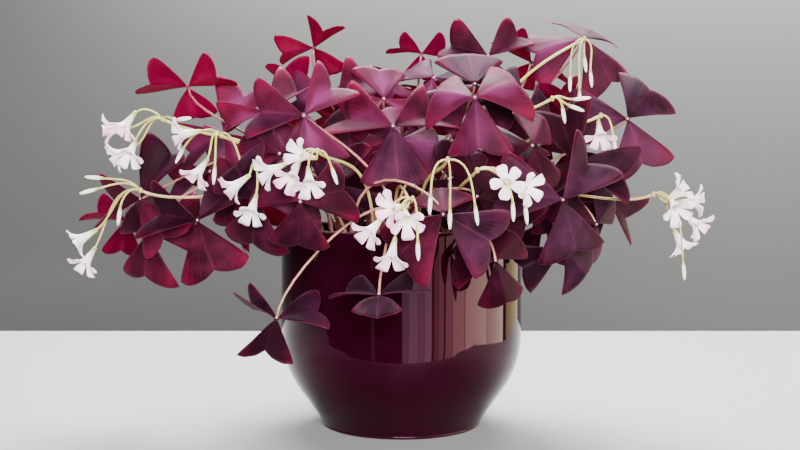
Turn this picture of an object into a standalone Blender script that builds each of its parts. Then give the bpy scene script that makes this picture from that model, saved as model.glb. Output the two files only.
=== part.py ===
"""A purple oxalis with white flowers, growing in the soil of a glazed plum pot.

The origin is the middle of the pot's underside, +Z is up and the front of the plant looks along -Y.
Lengths are written in millimetres and turned to metres by MM when a mesh is made. Angles are in degrees.
Every leaf and every spray of flowers has a place of its own, and is moved a little from it, by a seeded
draw, where it would touch what already stands there.
"""

import math
import random
from dataclasses import dataclass, replace

import bmesh
import bpy
from mathutils import Vector
from mathutils.bvhtree import BVHTree

MM = 0.001

# The pot: a straight-sided bowl that tapers to its foot
POT_HEIGHT = 133.0
POT_RADIUS = 80.0
FOOT_RADIUS = 51.5
WALL = 5.0
POT_FLOOR = 6.0
LIP_ROUND = 1.6
FOOT_ROUND = 1.8
SHOULDER_HEIGHT = 56.0
POT_SIDES = 30
WALL_HEIGHTS = (SHOULDER_HEIGHT, 35.5, 22.0)

# The soil and the holes that stems stand in
SOIL_GAP = 0.3
SOIL_EDGE_HEIGHT = 117.0
SOIL_CROWN_HEIGHT = 121.0
HOLE_DEPTH = 9.0
HOLE_SIDES = 4
HOLE_GAP = 0.45
HOLE_OPENS_ABOVE = 10.0
CROWN_RADIUS = 3.6
CROWN_ABOVE_SOIL = 2.5
SCAPE_FOOT_RADIUS = 1.8
SPOT_COUNT = 42
SPOT_FIELD_RADIUS = 62.0
GOLDEN_ANGLE = math.radians(137.508)
STEMS_LEAN_IN = 0.36
LEAVES_PER_CLUMP = 3

# One leaf: three leaflets round a hub, on a slim stalk
LEAFLETS = 3
WIDTH_TO_LENGTH = 1.41
BLADE_THICKNESS = 0.75
HUB_RADIUS = 1.7
CURL = (4.0, 24.0)
NOTCH = (0.08, 0.20)
CORNER_ROUND = (0.06, 0.15)
CORNER_POWER = 7
SIDE_FULLNESS = 0.05
SIDE_PULL_IN = 0.06
LEAFLET_OUTLINE = ((-1.0, 0.9), (-0.84, 1.0), (0.0, 1.0), (0.84, 1.0), (1.0, 0.9))
RIB_POINT = (0.0, 0.5)
LENGTH_SPREAD = 0.06
DROOP_SPREAD = 9.0
FOLD_SPREAD = 9.0
STALK_ROOT_RADIUS = 1.15
STALK_TIP_RADIUS = 0.85
STALK_STEPS = 4
STALK_SIDES = 3
STALK_ARRIVES = 0.3
HANGS_BELOW = 30.0
HANGS_FULLY = 45.0
LOW_LEAF = 25.0
LOW_STALK_RISE = (0.55, 1.0)
STALK_RISE = (0.25, 0.6)
STALK_BOW = 22.0
ROOT_OFFSET = 1.2
ROOTS_APART = 0.5

# One spray: a scape, a fan of thin stalks, and a funnel flower or a bud on each
SCAPE_RADIUS = 0.95
SCAPE_STEPS = 4
SCAPE_RISE = (0.4, 0.8)
SCAPE_BOW = 25.0
HUB_BEAD_RADIUS = 1.9
PEDICEL_RADIUS = 0.6
PEDICEL_STEPS = 3
BUD_STALK_STEPS = 2
PETALS = 5
FLOWER_LENGTH = 19.0
FLOWER_RADIUS = 8.8
THROAT_RADIUS = 2.9
THROAT_LENGTH = 11.5
PETAL_THICKNESS = 0.65
PETAL_SPREAD = 0.62
FUNNEL_DEPTH = 4.5
STALK_INTO_FLOWER = 3.0
STALK_INTO_BUD = 2.0
BUD_LENGTH = 12.5
BUD_RADIUS = 1.55
BUD_SIDES = 4

# How far things keep from each other, and how far they may move, while they are placed
BLADE_ROOM = 1.4
BLADE_ABOVE_SOIL = 4.0
STALK_ROOM = 0.4
ATTEMPTS = 400
STALK_TRIES = 9
SPOTS_TRIED = 8
RAISED_START = 11.0
LEAST_RISE = 0.9
TEST_SIDES = 4
POT_ROOM = 1.5
FIRST_SHARE = 0.3
LEAF_SIGHT_ROAM = 34.0
LEAF_TURN_ROAM = 20.0
LEAF_LIFT_ROAM = 18.0
LEAF_DROOP_ROAM = (-10.0, 20.0)
LEAF_SHRINK = 0.15
SPRAY_SIGHT_ROAM = 24.0
SPRAY_ROAM = 5.0
EYE = Vector((0.0, -810.0, 178.0))
SEED = 21

# Points nearer than this are one point, in metres: on a turned shape, a stalk, and a whole clump or spray
TURNED_WELD = 0.01 * MM
STALK_WELD = 0.005 * MM
SHORTEST_EDGE = 0.02 * MM

# How the three leaflets of a leaf fold along their ribs: above 0 like a roof, below 0 like raised wings
OPEN = (12.0, 12.0, 12.0)
WINGS = (6.0, -34.0, -34.0)
CUPPED = (-26.0, -26.0, -26.0)
ROOFED = (34.0, 26.0, 26.0)


@dataclass(frozen=True)
class Leaf:
    """A leaf's hub, the way its face looks, the turn of its first leaflet, its size, bends and freedom."""

    name: str
    hub: tuple
    azimuth: float
    elevation: float
    roll: float
    length: float
    droop: float = 14.0
    folds: tuple = OPEN
    roam: float = 7.0


@dataclass(frozen=True)
class Bend:
    """One leaflet's length, and how it bends, folds and ends."""

    length: float
    droop: float
    fold: float
    curl: float
    notch: float
    corner_round: float


@dataclass(frozen=True)
class Flower:
    """A flower's mouth or a bud's middle, and the way it looks."""

    place: tuple
    azimuth: float
    elevation: float
    is_open: bool = True


@dataclass(frozen=True)
class Spray:
    """The point where a spray's thin stalks part, and what they carry."""

    name: str
    hub: tuple
    flowers: tuple


def bud(place, azimuth, elevation):
    """A closed flower."""
    return Flower(place, azimuth, elevation, False)


# Azimuth 0 looks at the front, 90 to the right and 180 to the back. Elevation 90 looks up.
LEAVES = (
    Leaf("crest_front", (46, -66, 212), 0, 25, 270, 36, 18, ROOFED),
    Leaf("crest_right", (72, -46, 206), 0, 28, 248, 38, 8),
    Leaf("crown_right", (122, 10, 258), 10, 40, 185, 37, 18),
    Leaf("crown_left", (-59, 10, 252), 170, 48, 0, 23, 8, CUPPED),
    Leaf("arch_left", (-141, -5, 225), 190, 40, 140, 28, 8, CUPPED),
    Leaf("centre_high", (-5, -62, 199), 0, 34, 272, 37, 12, WINGS),
    Leaf("upper_left", (-86, -45, 202), -8, 32, 300, 36, 10, WINGS),
    Leaf("upper_left_in", (-60, -50, 200), 0, 24, 35, 35, 6, CUPPED),
    Leaf("crest_mid", (45, -15, 225), 0, 45, 215, 36, 10),
    Leaf("right_high", (143, -30, 204), 10, 15, 165, 37, 6, OPEN),
    Leaf("right_front", (95, -85, 154), 10, 12, 285, 37, 12, WINGS),
    Leaf("right_rear", (108, -52, 176), 0, 10, 105, 36, 0, CUPPED),
    Leaf("left_skirt", (-86, -80, 152), -10, 5, 250, 33, 12),
    Leaf("left_front", (-62, -92, 158), -10, 15, 275, 34),
    Leaf("low_corner", (-75, -86, 82), -5, 50, 20, 28, 4, (-16.0, -62.0, 12.0)),
    Leaf("low_centre", (-15, -112, 99), 0, 60, 150, 25, 8, CUPPED),
    Leaf("skirt_centre", (24, -112, 147), 0, 25, 215, 36, 20, OPEN),
    Leaf("skirt_right", (54, -98, 119), 10, 20, 290, 31, 10, ROOFED),
    Leaf("crown_mid_left", (-21, 20, 240), 0, 62, 75, 31, 24),
    Leaf("crown_curl", (14, 45, 251), 170, 45, 40, 20, 6, CUPPED),
    Leaf("crown_mid", (23, 5, 230), 0, 45, 15, 30),
    Leaf("crown_right_in", (60, 20, 247), 0, 26, 155, 28, 6, CUPPED),
    Leaf("crown_small", (92, 35, 242), 165, 50, 60, 27, 8, CUPPED),
    Leaf("upper_left_back", (-43, -15, 214), 10, 30, 40, 32, 6, CUPPED),
    Leaf("back_red", (-66, 5, 216), 172, 30, 85, 29, 6, CUPPED),
    Leaf("crest_left", (-15, -35, 211), 0, 25, 100, 33, 8, WINGS),
    Leaf("right_red", (114, -10, 211), 175, 30, 85, 27, 6, CUPPED, 14),
    Leaf("left_mid", (-116, -25, 193), -15, 15, 80, 36, 4, CUPPED),
    Leaf("left_dark", (-128, -50, 139), -15, 15, 290, 36, 12, WINGS),
    Leaf("outer_left", (-166, -30, 154), -35, 15, 300, 37, 8, WINGS),
    Leaf("low_left", (-164, -20, 130), -25, 8, 260, 36, 14),
    Leaf("left_between", (-126, -15, 170), -15, 15, 320, 31, 10, CUPPED, 16),
    Leaf("left_behind", (-106, 5, 160), -10, 10, 270, 32, 10, OPEN, 14),
    Leaf("far_left", (-181, 0, 141), 178, 25, 45, 29, 6, CUPPED),
    Leaf("right_hang", (124, -45, 138), 25, 0, 280, 34, 16, ROOFED),
    Leaf("right_out", (139, -10, 148), 40, 10, 95, 35, 10, WINGS),
    Leaf("right_low", (98, -76, 126), 5, 10, 205, 29, 16, ROOFED, 16),
)

SPRAYS = (
    Spray("left_high", (-149, -50, 202), (
        Flower((-188, -52, 195), -80, -5),
        Flower((-174, -64, 192), -50, -50),
        Flower((-184, -48, 177), -70, -25),
        Flower((-170, -62, 175), -20, -50),
        bud((-134, -62, 202), 60, 5),
    )),
    Spray("left_low", (-161, -62, 158), (
        bud((-188, -66, 166), -85, 5),
        bud((-190, -72, 158), -85, -15),
        bud((-172, -72, 143), -40, -80),
        Flower((-205, -62, 124), -75, -30),
        Flower((-198, -68, 108), -40, -50),
    )),
    Spray("left_fan", (-113, -64, 193), (
        Flower((-139, -78, 191), -65, -10),
        bud((-136, -64, 180), -60, -60),
        Flower((-127, -80, 163), -50, -50),
        bud((-113, -78, 168), -20, -80),
        bud((-97, -72, 172), 50, -70),
    )),
    Spray("left_inner", (-86, -94, 175), (
        Flower((-104, -100, 157), -70, -35),
        Flower((-89, -108, 141), -20, -55),
    )),
    Spray("centre_left", (-49, -103, 182), (
        Flower((-64, -112, 181), -50, 10),
        Flower((-83, -110, 168), -60, -20),
        Flower((-66, -116, 162), -25, -40),
        Flower((-52, -120, 158), 10, -50),
        bud((-39, -108, 168), 40, -60),
    )),
    Spray("centre_long", (26, -122, 177), (
        bud((42, -128, 146), 30, -75),
        bud((16, -126, 152), -20, -80),
        bud((27, -130, 144), 0, -85),
    )),
    Spray("centre_fall", (6, -126, 155), (
        Flower((-11, -134, 149), -50, -5),
        Flower((4, -141, 139), 10, -35),
        Flower((-22, -132, 132), -50, -40),
        Flower((-7, -142, 117), -20, -60),
        bud((9, -138, 127), 10, -80),
    )),
    Spray("star", (43, -118, 171), (
        Flower((59, -130, 165), -5, 5),
        Flower((76, -122, 160), 40, -10),
        bud((63, -124, 148), 10, -80),
        bud((71, -118, 146), 20, -75),
    )),
    Spray("right", (160, -40, 155), (
        Flower((180, -50, 161), 60, 35),
        Flower((194, -38, 150), 85, 0),
        Flower((172, -60, 142), 10, -35),
        Flower((190, -52, 132), 50, -35),
        Flower((182, -38, 117), 60, -60),
        bud((176, -56, 108), 20, -80),
    )),
    Spray("top_right", (120, -8, 256), (
        bud((110, -14, 227), -10, -80),
        bud((116, -16, 217), 0, -85),
        bud((124, -12, 230), 20, -80),
        bud((121, -6, 240), 10, -70),
    )),
    Spray("right_upper", (94, -50, 215), (
        bud((108, -54, 209), 60, -20),
        bud((112, -50, 215), 70, 5),
        bud((100, -58, 205), 20, -70),
    )),
    Spray("right_hidden", (127, -34, 205), (
        Flower((126, -42, 186), 0, -55),
        bud((135, -38, 188), 30, -75),
    )),
    Spray("back_left", (-70, 105, 195), (
        Flower((-88, 112, 188), 205, -15),
        Flower((-72, 124, 180), 180, -25),
        bud((-60, 116, 176), 160, -60),
    )),
    Spray("back_right", (85, 95, 180), (
        Flower((104, 100, 174), 130, -15),
        Flower((88, 114, 166), 175, -30),
        bud((74, 108, 164), 200, -60),
    )),
)

# Leaves deep in the front of the plant: the middle of the room they fill, its reach, and their count
DEEP_MIDDLE = (5.0, -58.0, 168.0)
DEEP_REACH = (85.0, 16.0, 20.0)
DEEP_COUNT = 12
DEEP_ROAM = 10.0
DEEP_LENGTH = (29.0, 34.0)

# The back of the plant: leaves in rings, each ring with its height, reach from the pot's axis, tilt and count
BACK_RINGS = (
    (222, 55, 55, 3),
    (200, 100, 35, 5),
    (165, 135, 20, 6),
    (135, 122, 5, 3),
)
BACK_FROM = 82.0
BACK_TO = 278.0
BACK_SCATTER = 8.0
BACK_LENGTH = (32.0, 38.0)


def direction(azimuth, elevation):
    """The unit vector that looks along an azimuth and an elevation."""
    turn = math.radians(azimuth)
    rise = math.radians(elevation)
    level = math.cos(rise)
    return Vector((math.sin(turn) * level, -math.cos(turn) * level, math.sin(rise)))


def bezier(corners, t):
    """The point at t on the cubic curve that four corners steer."""
    a, b, c, d = corners
    s = 1.0 - t
    return a * s ** 3 + b * (3 * s * s * t) + c * (3 * s * t * t) + d * t ** 3


def leaflet_point(u, v, bend):
    """A leaflet's point along, across and above its hub, u from edge to edge and v from base to tip."""
    edge = abs(u)
    tip_line = 1.0 - bend.notch * (1.0 - edge) ** 3 - bend.corner_round * edge ** CORNER_POWER
    side_line = v * (1.0 + SIDE_FULLNESS - SIDE_FULLNESS * v) - SIDE_PULL_IN * v ** 10
    reach = bend.length * v * tip_line
    across = bend.length * WIDTH_TO_LENGTH / 2 * u * side_line
    slope = math.radians(bend.droop + bend.curl * v)
    mean_slope = math.radians(bend.droop + bend.curl * v / 2)
    fall = abs(across) * math.sin(math.radians(bend.fold))
    along = reach * math.cos(mean_slope) - fall * math.sin(slope)
    above = -reach * math.sin(mean_slope) - fall * math.cos(slope)
    return along, across * math.cos(math.radians(bend.fold)), above


def leaf_frame(leaf):
    """The directions of a leaf's first leaflet, of its side, and of the look of its upper face."""
    look = direction(leaf.azimuth, leaf.elevation)
    turn = math.radians(leaf.azimuth)
    right = Vector((math.cos(turn), math.sin(turn), 0.0))
    roll = math.radians(leaf.roll)
    first = right * math.cos(roll) + look.cross(right) * math.sin(roll)
    return first, look.cross(first), look


def leaflet_bends(leaf):
    """How each of a leaf's three leaflets bends."""
    draw = random.Random(leaf.name + " leaflets")
    bends = []
    for fold in leaf.folds:
        bends.append(Bend(
            length=leaf.length * (1.0 + draw.uniform(-LENGTH_SPREAD, LENGTH_SPREAD)),
            droop=leaf.droop + draw.uniform(-DROOP_SPREAD, DROOP_SPREAD),
            fold=fold + draw.uniform(-FOLD_SPREAD, FOLD_SPREAD),
            curl=draw.uniform(*CURL),
            notch=draw.uniform(*NOTCH),
            corner_round=draw.uniform(*CORNER_ROUND),
        ))
    return bends


def leaf_sheet(leaf):
    """Points and triangles of a leaf's three leaflets, without thickness."""
    first, side, look = leaf_frame(leaf)
    hub = Vector(leaf.hub)
    points = []
    ring_turn = 180.0 / LEAFLETS
    for corner in range(2 * LEAFLETS):
        angle = math.radians((corner - 0.5) * ring_turn)
        points.append(hub + (first * math.cos(angle) + side * math.sin(angle)) * HUB_RADIUS)
    triangles = [(1, 3, 5), (1, 2, 3), (3, 4, 5), (5, 0, 1)]
    for index, bend in enumerate(leaflet_bends(leaf)):
        angle = math.radians(index * 360.0 / LEAFLETS)
        out = first * math.cos(angle) + side * math.sin(angle)
        across = side * math.cos(angle) - first * math.sin(angle)
        base = len(points)
        root = HUB_RADIUS * math.cos(math.radians(ring_turn / 2))
        for u, v in (*LEAFLET_OUTLINE, RIB_POINT):
            x, y, z = leaflet_point(u, v, bend)
            points.append(hub + out * (root + x) + across * y + look * z)
        low, high = 2 * index, 2 * index + 1
        rim = [base + step for step in range(len(LEAFLET_OUTLINE))]
        rib = base + len(LEAFLET_OUTLINE)
        triangles += [(low, rib, high), (low, rim[0], rib), (high, rib, rim[-1])]
        triangles += [(start, end, rib) for start, end in zip(rim, rim[1:])]
    return points, triangles


def thickened(points, triangles, thickness):
    """A closed solid from a sheet, split into triangles alike on both faces."""
    normals = [Vector() for _ in points]
    for a, b, c in triangles:
        normal = (points[b] - points[a]).cross(points[c] - points[a]).normalized()
        for corner in (a, b, c):
            normals[corner] += normal
    half = thickness / 2
    upper = [point + normal.normalized() * half for point, normal in zip(points, normals)]
    lower = [point - normal.normalized() * half for point, normal in zip(points, normals)]
    count = len(points)
    faces = list(triangles) + [(c + count, b + count, a + count) for a, b, c in triangles]
    edges = {edge for a, b, c in triangles for edge in ((a, b), (b, c), (c, a))}
    for a, b in sorted(edges):
        if (b, a) not in edges:
            faces += [(b, a, a + count), (b, a + count, b + count)]
    return upper + lower, faces


def prism(route, radius):
    """The points and faces of a rough tube along a route, for testing what it would touch."""
    points = []
    faces = []
    for index, point in enumerate(route):
        ahead = route[min(index + 1, len(route) - 1)] - route[max(index - 1, 0)]
        level = ahead.orthogonal().normalized()
        upright = ahead.normalized().cross(level)
        for side in range(TEST_SIDES):
            angle = 2 * math.pi * side / TEST_SIDES
            points.append(point + (level * math.cos(angle) + upright * math.sin(angle)) * radius)
    for index in range(len(route) - 1):
        for side in range(TEST_SIDES):
            a = index * TEST_SIDES + side
            b = index * TEST_SIDES + (side + 1) % TEST_SIDES
            faces += [(a, b, b + TEST_SIDES), (a, b + TEST_SIDES, a + TEST_SIDES)]
    return points, faces


def stalk_corners(root, tip, arrive, rise, bow):
    """The four corners that steer a stalk: upright out of the soil, and along arrive into its tip."""
    reach = (tip - root).length
    return (root, root + Vector((0, 0, rise * reach)) + bow, tip - arrive * (STALK_ARRIVES * reach), tip)


def route_of(corners, steps):
    """Points along a stalk."""
    return [bezier(corners, step / steps) for step in range(steps + 1)]


def leaf_arrival(leaf):
    """The direction in which a stalk meets its hub: from below, or from above where the leaf hangs low."""
    look = direction(leaf.azimuth, leaf.elevation)
    hanging = min(max((POT_HEIGHT + HANGS_BELOW - leaf.hub[2]) / HANGS_FULLY, 0.0), 1.0)
    return (look * (1.0 - 0.6 * hanging) + Vector((0, 0, -1.6 * hanging))).normalized()


class Bed:
    """What stands in the pot so far, and the free spots in its soil."""

    def __init__(self):
        self.things = []
        self.rooms = [0] * SPOT_COUNT
        self.add(*pot_test_shape(), "pot")

    def add(self, points, faces, owner):
        """Stand something in the bed."""
        low = [min(point[axis] for point in points) for axis in range(3)]
        high = [max(point[axis] for point in points) for axis in range(3)]
        self.things.append((BVHTree.FromPolygons(points, faces), low, high, owner))

    def touches(self, points, faces, ignore=""):
        """Whether a shape would cut into anything that doesn't belong to the owner named."""
        low = [min(point[axis] for point in points) for axis in range(3)]
        high = [max(point[axis] for point in points) for axis in range(3)]
        tree = None
        for other, other_low, other_high, owner in self.things:
            if owner == ignore:
                continue
            if any(low[axis] > other_high[axis] or high[axis] < other_low[axis] for axis in range(3)):
                continue
            tree = tree or BVHTree.FromPolygons(points, faces)
            if tree.overlap(other):
                return True
        return False

    def nearest_spots(self, target, room):
        """Spots in the soil with room, nearest first."""
        free = [index for index in range(SPOT_COUNT) if self.rooms[index] < room]
        return sorted(free, key=lambda index: (spot_place(index).xy - target.xy).length)


def spot_place(index):
    """A spot's place on the soil, on a spiral that fills it evenly."""
    radius = SPOT_FIELD_RADIUS * math.sqrt((index + 0.5) / SPOT_COUNT)
    angle = index * GOLDEN_ANGLE
    return Vector((radius * math.cos(angle), radius * math.sin(angle), soil_height(radius)))


def soil_height(radius):
    """The height of the soil, which is a low dome."""
    share = min(radius / (POT_RADIUS - WALL), 1.0)
    return SOIL_CROWN_HEIGHT - (SOIL_CROWN_HEIGHT - SOIL_EDGE_HEIGHT) * share * share


def outer_profile():
    """The pot's outer side from below its lip to the flat of its foot, as radius and height."""
    side = [(POT_RADIUS, POT_HEIGHT - LIP_ROUND)]
    side += [(POT_RADIUS, SHOULDER_HEIGHT), (78.4, 47.0), (73.6, 35.5), (65.5, 22.0), (57.5, 9.5)]
    side.append((FOOT_RADIUS + 1.2, FOOT_ROUND))
    side.append((FOOT_RADIUS - 0.6, 0.0))
    return side


def inner_radius(height):
    """The radius inside the pot at a height, one wall in from the outer side."""
    side = outer_profile()[:-1]
    for (r0, z0), (r1, z1) in zip(side, side[1:]):
        if z1 <= height <= z0:
            return r0 + (r1 - r0) * (z0 - height) / (z0 - z1) - WALL
    return side[0][0] - WALL


def pot_profile():
    """The pot's whole section, from the middle of its floor over the lip to the middle of its underside."""
    inside = [(inner_radius(POT_FLOOR) - 2.0, POT_FLOOR)]
    inside += [(inner_radius(height), height) for height in reversed(WALL_HEIGHTS)]
    lip = [
        (POT_RADIUS - WALL, POT_HEIGHT - LIP_ROUND),
        (POT_RADIUS - WALL + LIP_ROUND, POT_HEIGHT),
        (POT_RADIUS - LIP_ROUND, POT_HEIGHT),
    ]
    return [(0.0, POT_FLOOR)] + inside + lip + outer_profile() + [(0.0, 0.0)]


def soil_profile():
    """The soil's section, from the middle of its top down to the middle of its underside."""
    top = [(0.0, soil_height(0.0)), (SPOT_FIELD_RADIUS / 2, soil_height(SPOT_FIELD_RADIUS / 2))]
    side = [(inner_radius(height) - 1.2 * SOIL_GAP, height) for height in (SOIL_EDGE_HEIGHT, *WALL_HEIGHTS)]
    foot = POT_FLOOR + SOIL_GAP
    return top + side + [(inner_radius(POT_FLOOR) - 3.0, foot), (0.0, foot)]


def pot_test_shape():
    """The pot's upper wall, a little larger than it is, for testing what would touch it."""
    profile = [
        (POT_RADIUS - WALL - POT_ROOM, SOIL_EDGE_HEIGHT),
        (POT_RADIUS - WALL - POT_ROOM, POT_HEIGHT + POT_ROOM),
        (POT_RADIUS + POT_ROOM, POT_HEIGHT + POT_ROOM),
        (POT_RADIUS + POT_ROOM, SHOULDER_HEIGHT),
        (POT_RADIUS - 12.0, 24.0),
    ]
    points = []
    faces = []
    for step in range(POT_SIDES):
        angle = 2 * math.pi * step / POT_SIDES
        points += [Vector((r * math.cos(angle), r * math.sin(angle), z)) for r, z in profile]
    for step in range(POT_SIDES):
        for index in range(len(profile) - 1):
            a = step * len(profile) + index
            b = (step + 1) % POT_SIDES * len(profile) + index
            faces += [(a, b, b + 1), (a, b + 1, a + 1)]
    return points, faces


def along_sight(place, amount):
    """A place moved along the line of sight from the front, which keeps it where the front view has it."""
    place = Vector(place)
    return place + (EYE - place).normalized() * amount


def shaken(leaf, draw, share):
    """The leaf moved, mostly along the line of sight, and turned a little, more so with each attempt."""
    spread = FIRST_SHARE + (1.0 - FIRST_SHARE) * share
    hub = along_sight(leaf.hub, draw.uniform(-LEAF_SIGHT_ROAM, LEAF_SIGHT_ROAM) * spread)
    aside = Vector((draw.uniform(-leaf.roam, leaf.roam), 0.0, draw.uniform(-leaf.roam, leaf.roam)))
    return replace(
        leaf,
        hub=tuple(hub + aside * spread),
        azimuth=leaf.azimuth + draw.uniform(-LEAF_TURN_ROAM, LEAF_TURN_ROAM) * spread,
        elevation=leaf.elevation + draw.uniform(-LEAF_LIFT_ROAM, LEAF_LIFT_ROAM) * spread,
        roll=leaf.roll + draw.uniform(-LEAF_TURN_ROAM, LEAF_TURN_ROAM) * spread,
        length=leaf.length * (1.0 - LEAF_SHRINK * share),
        droop=leaf.droop + draw.uniform(*LEAF_DROOP_ROAM) * spread,
    )


def place_leaf(leaf, bed):
    """Find a clear place for a leaf near its own: the leaf, its spot and its stalk's corners, or None."""
    draw = random.Random(f"{leaf.name} {SEED}")
    for attempt in range(ATTEMPTS):
        trial = shaken(leaf, draw, attempt / ATTEMPTS) if attempt else leaf
        blade = thickened(*leaf_sheet(trial), BLADE_ROOM)
        if lies_on_soil(blade[0]) or bed.touches(*blade):
            continue
        tip = Vector(trial.hub)
        low = tip.z < POT_HEIGHT + LOW_LEAF
        level = Vector((tip.x, tip.y, 0.0))
        aside = Vector((-level.y, level.x, 0.0)).normalized()
        for spot in bed.nearest_spots(level * STEMS_LEAN_IN, LEAVES_PER_CLUMP)[:SPOTS_TRIED]:
            foot = spot_place(spot)
            lean = (level - foot * 0.5).normalized()
            beside = Vector((-lean.y, lean.x, 0.0)) * (ROOTS_APART * (bed.rooms[spot] - 1))
            root = foot + lean * ROOT_OFFSET + beside
            root.z = foot.z
            for index in range(STALK_TRIES):
                rise = draw.uniform(*(LOW_STALK_RISE if low else STALK_RISE))
                bow = aside * (draw.uniform(-STALK_BOW, STALK_BOW) if index else 0.0)
                corners = stalk_corners(root, tip, leaf_arrival(trial), rise, bow)
                if stalk_fits(corners, f"clump {spot}", bed):
                    stalk_room = prism(route_of(corners, STALK_STEPS), STALK_ROOT_RADIUS + STALK_ROOM)
                    bed.add(*blade, "blade")
                    bed.add(*stalk_room, f"clump {spot}")
                    bed.rooms[spot] += 1
                    return trial, spot, corners
    return None


def lies_on_soil(points):
    """Whether a blade would touch the soil."""
    inside = [point for point in points if point.xy.length < POT_RADIUS]
    return any(point.z < soil_height(point.xy.length) + BLADE_ABOVE_SOIL for point in inside)


def grazes_soil(route):
    """Whether a stalk leans over so early that it would touch the soil or a neighbour's crown."""
    first = route[1] - route[0]
    return first.z < first.xy.length * LEAST_RISE


def stalk_fits(corners, owner, bed):
    """Whether a leaf's stalk clears all other things, and its own clump's stalks above the soil."""
    route = route_of(corners, STALK_STEPS)
    radius = STALK_ROOT_RADIUS + STALK_ROOM
    if grazes_soil(route) or bed.touches(*prism(route, radius), owner):
        return False
    start = route[0] + (route[1] - route[0]).normalized() * RAISED_START
    return not bed.touches(*prism([start] + route[1:], radius))


def flower_base(flower):
    """The point where a flower or a bud meets its stalk."""
    length = FLOWER_LENGTH if flower.is_open else BUD_LENGTH / 2
    return Vector(flower.place) - direction(flower.azimuth, flower.elevation) * length


def pedicel_corners(hub, flower):
    """The four corners that steer a flower's thin stalk: up and out of the hub, then into the flower."""
    look = direction(flower.azimuth, flower.elevation)
    base = flower_base(flower)
    reach = (base - hub).length
    out = ((base - hub).normalized() + Vector((0, 0, 0.9))).normalized()
    sunk = STALK_INTO_FLOWER if flower.is_open else STALK_INTO_BUD
    return (hub + out * 0.5, hub + out * (0.45 * reach), base - look * (0.35 * reach), base + look * sunk)


def flower_mesh(flower):
    """Points and faces of a funnel with five spread petals, as a thin closed shell."""
    look = direction(flower.azimuth, flower.elevation)
    level = look.orthogonal().normalized()
    upright = look.cross(level)
    base = flower_base(flower)

    def ring(radius, height, angles):
        """Points round the funnel's axis."""
        middle = base + look * height
        return [middle + (level * math.cos(angle) + upright * math.sin(angle)) * radius for angle in angles]

    step = 2 * math.pi / PETALS
    notches = [index * step for index in range(PETALS)]
    tips = []
    for angle in notches:
        tips += [angle + step * (1 - PETAL_SPREAD) / 2, angle + step * (1 + PETAL_SPREAD) / 2]
    points = [base - look * 0.4] + ring(THROAT_RADIUS, THROAT_LENGTH, notches)
    points += ring(FLOWER_RADIUS, FLOWER_LENGTH - 1.0, tips)
    points += [base + look * FUNNEL_DEPTH]
    points += ring(THROAT_RADIUS - PETAL_THICKNESS, THROAT_LENGTH + 0.3, notches)
    points += ring(FLOWER_RADIUS - 0.3, FLOWER_LENGTH - 1.0 + PETAL_THICKNESS, tips)
    inner = 1 + 3 * PETALS
    faces = []
    for index in range(PETALS):
        after = (index + 1) % PETALS
        notch, next_notch = 1 + index, 1 + after
        left, right = 1 + PETALS + 2 * index, 2 + PETALS + 2 * index
        shell = [(0, next_notch, notch), (notch, next_notch, right), (notch, right, left)]
        faces += shell
        faces += [(c + inner, b + inner, a + inner) for a, b, c in shell]
        for a, b in ((notch, left), (left, right), (right, next_notch)):
            faces += [(a, b, b + inner), (a, b + inner, a + inner)]
    return points, faces


def bud_route(flower):
    """The two ends of a bud."""
    look = direction(flower.azimuth, flower.elevation)
    base = flower_base(flower)
    return [base - look * 0.5, base + look * (BUD_LENGTH - 0.5)]


def spray_shapes(spray):
    """What a spray holds above its scape, as shapes for testing what they would touch."""
    hub = Vector(spray.hub)
    shapes = []
    for flower in spray.flowers:
        thin = route_of(pedicel_corners(hub, flower), PEDICEL_STEPS if flower.is_open else BUD_STALK_STEPS)
        shapes.append(prism(thin, PEDICEL_RADIUS + STALK_ROOM))
        shapes.append(flower_mesh(flower) if flower.is_open else prism(bud_route(flower), BUD_RADIUS + 0.3))
    return shapes


def shifted(spray, draw, share):
    """The spray moved a little, mostly along the line of sight."""
    amount = draw.uniform(-SPRAY_SIGHT_ROAM, SPRAY_SIGHT_ROAM) * share
    sideways, upward = [draw.uniform(-SPRAY_ROAM, SPRAY_ROAM) for _ in range(2)]
    aside = Vector((sideways, 0.0, upward)) * share
    flowers = []
    for flower in spray.flowers:
        flowers.append(replace(flower, place=tuple(along_sight(flower.place, amount) + aside)))
    return replace(spray, hub=tuple(along_sight(spray.hub, amount) + aside), flowers=tuple(flowers))


def place_spray(spray, bed):
    """Find a clear place for a spray near its own: the spray, its spot and its scape's corners, or None."""
    draw = random.Random(spray.name)
    for attempt in range(ATTEMPTS):
        trial = shifted(spray, draw, attempt / ATTEMPTS) if attempt else spray
        shapes = spray_shapes(trial)
        if any(bed.touches(*shape) for shape in shapes):
            continue
        hub = Vector(trial.hub)
        level = Vector((hub.x, hub.y, 0.0))
        aside = Vector((-level.y, level.x, 0.0)).normalized()
        arrive = (level.normalized() + Vector((0.0, 0.0, 0.5))).normalized()
        for spot in bed.nearest_spots(level * STEMS_LEAN_IN, 1)[:SPOTS_TRIED]:
            for index in range(STALK_TRIES):
                bow = aside * (draw.uniform(-SCAPE_BOW, SCAPE_BOW) if index else 0.0)
                corners = stalk_corners(spot_place(spot), hub, arrive, draw.uniform(*SCAPE_RISE), bow)
                route = route_of(corners, SCAPE_STEPS)
                shape = prism(route, SCAPE_RADIUS + STALK_ROOM)
                if grazes_soil(route) or bed.touches(*shape):
                    continue
                for part in shapes + [shape]:
                    bed.add(*part, f"spray {spray.name}")
                bed.rooms[spot] = LEAVES_PER_CLUMP
                return trial, spot, corners
    return None


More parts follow.
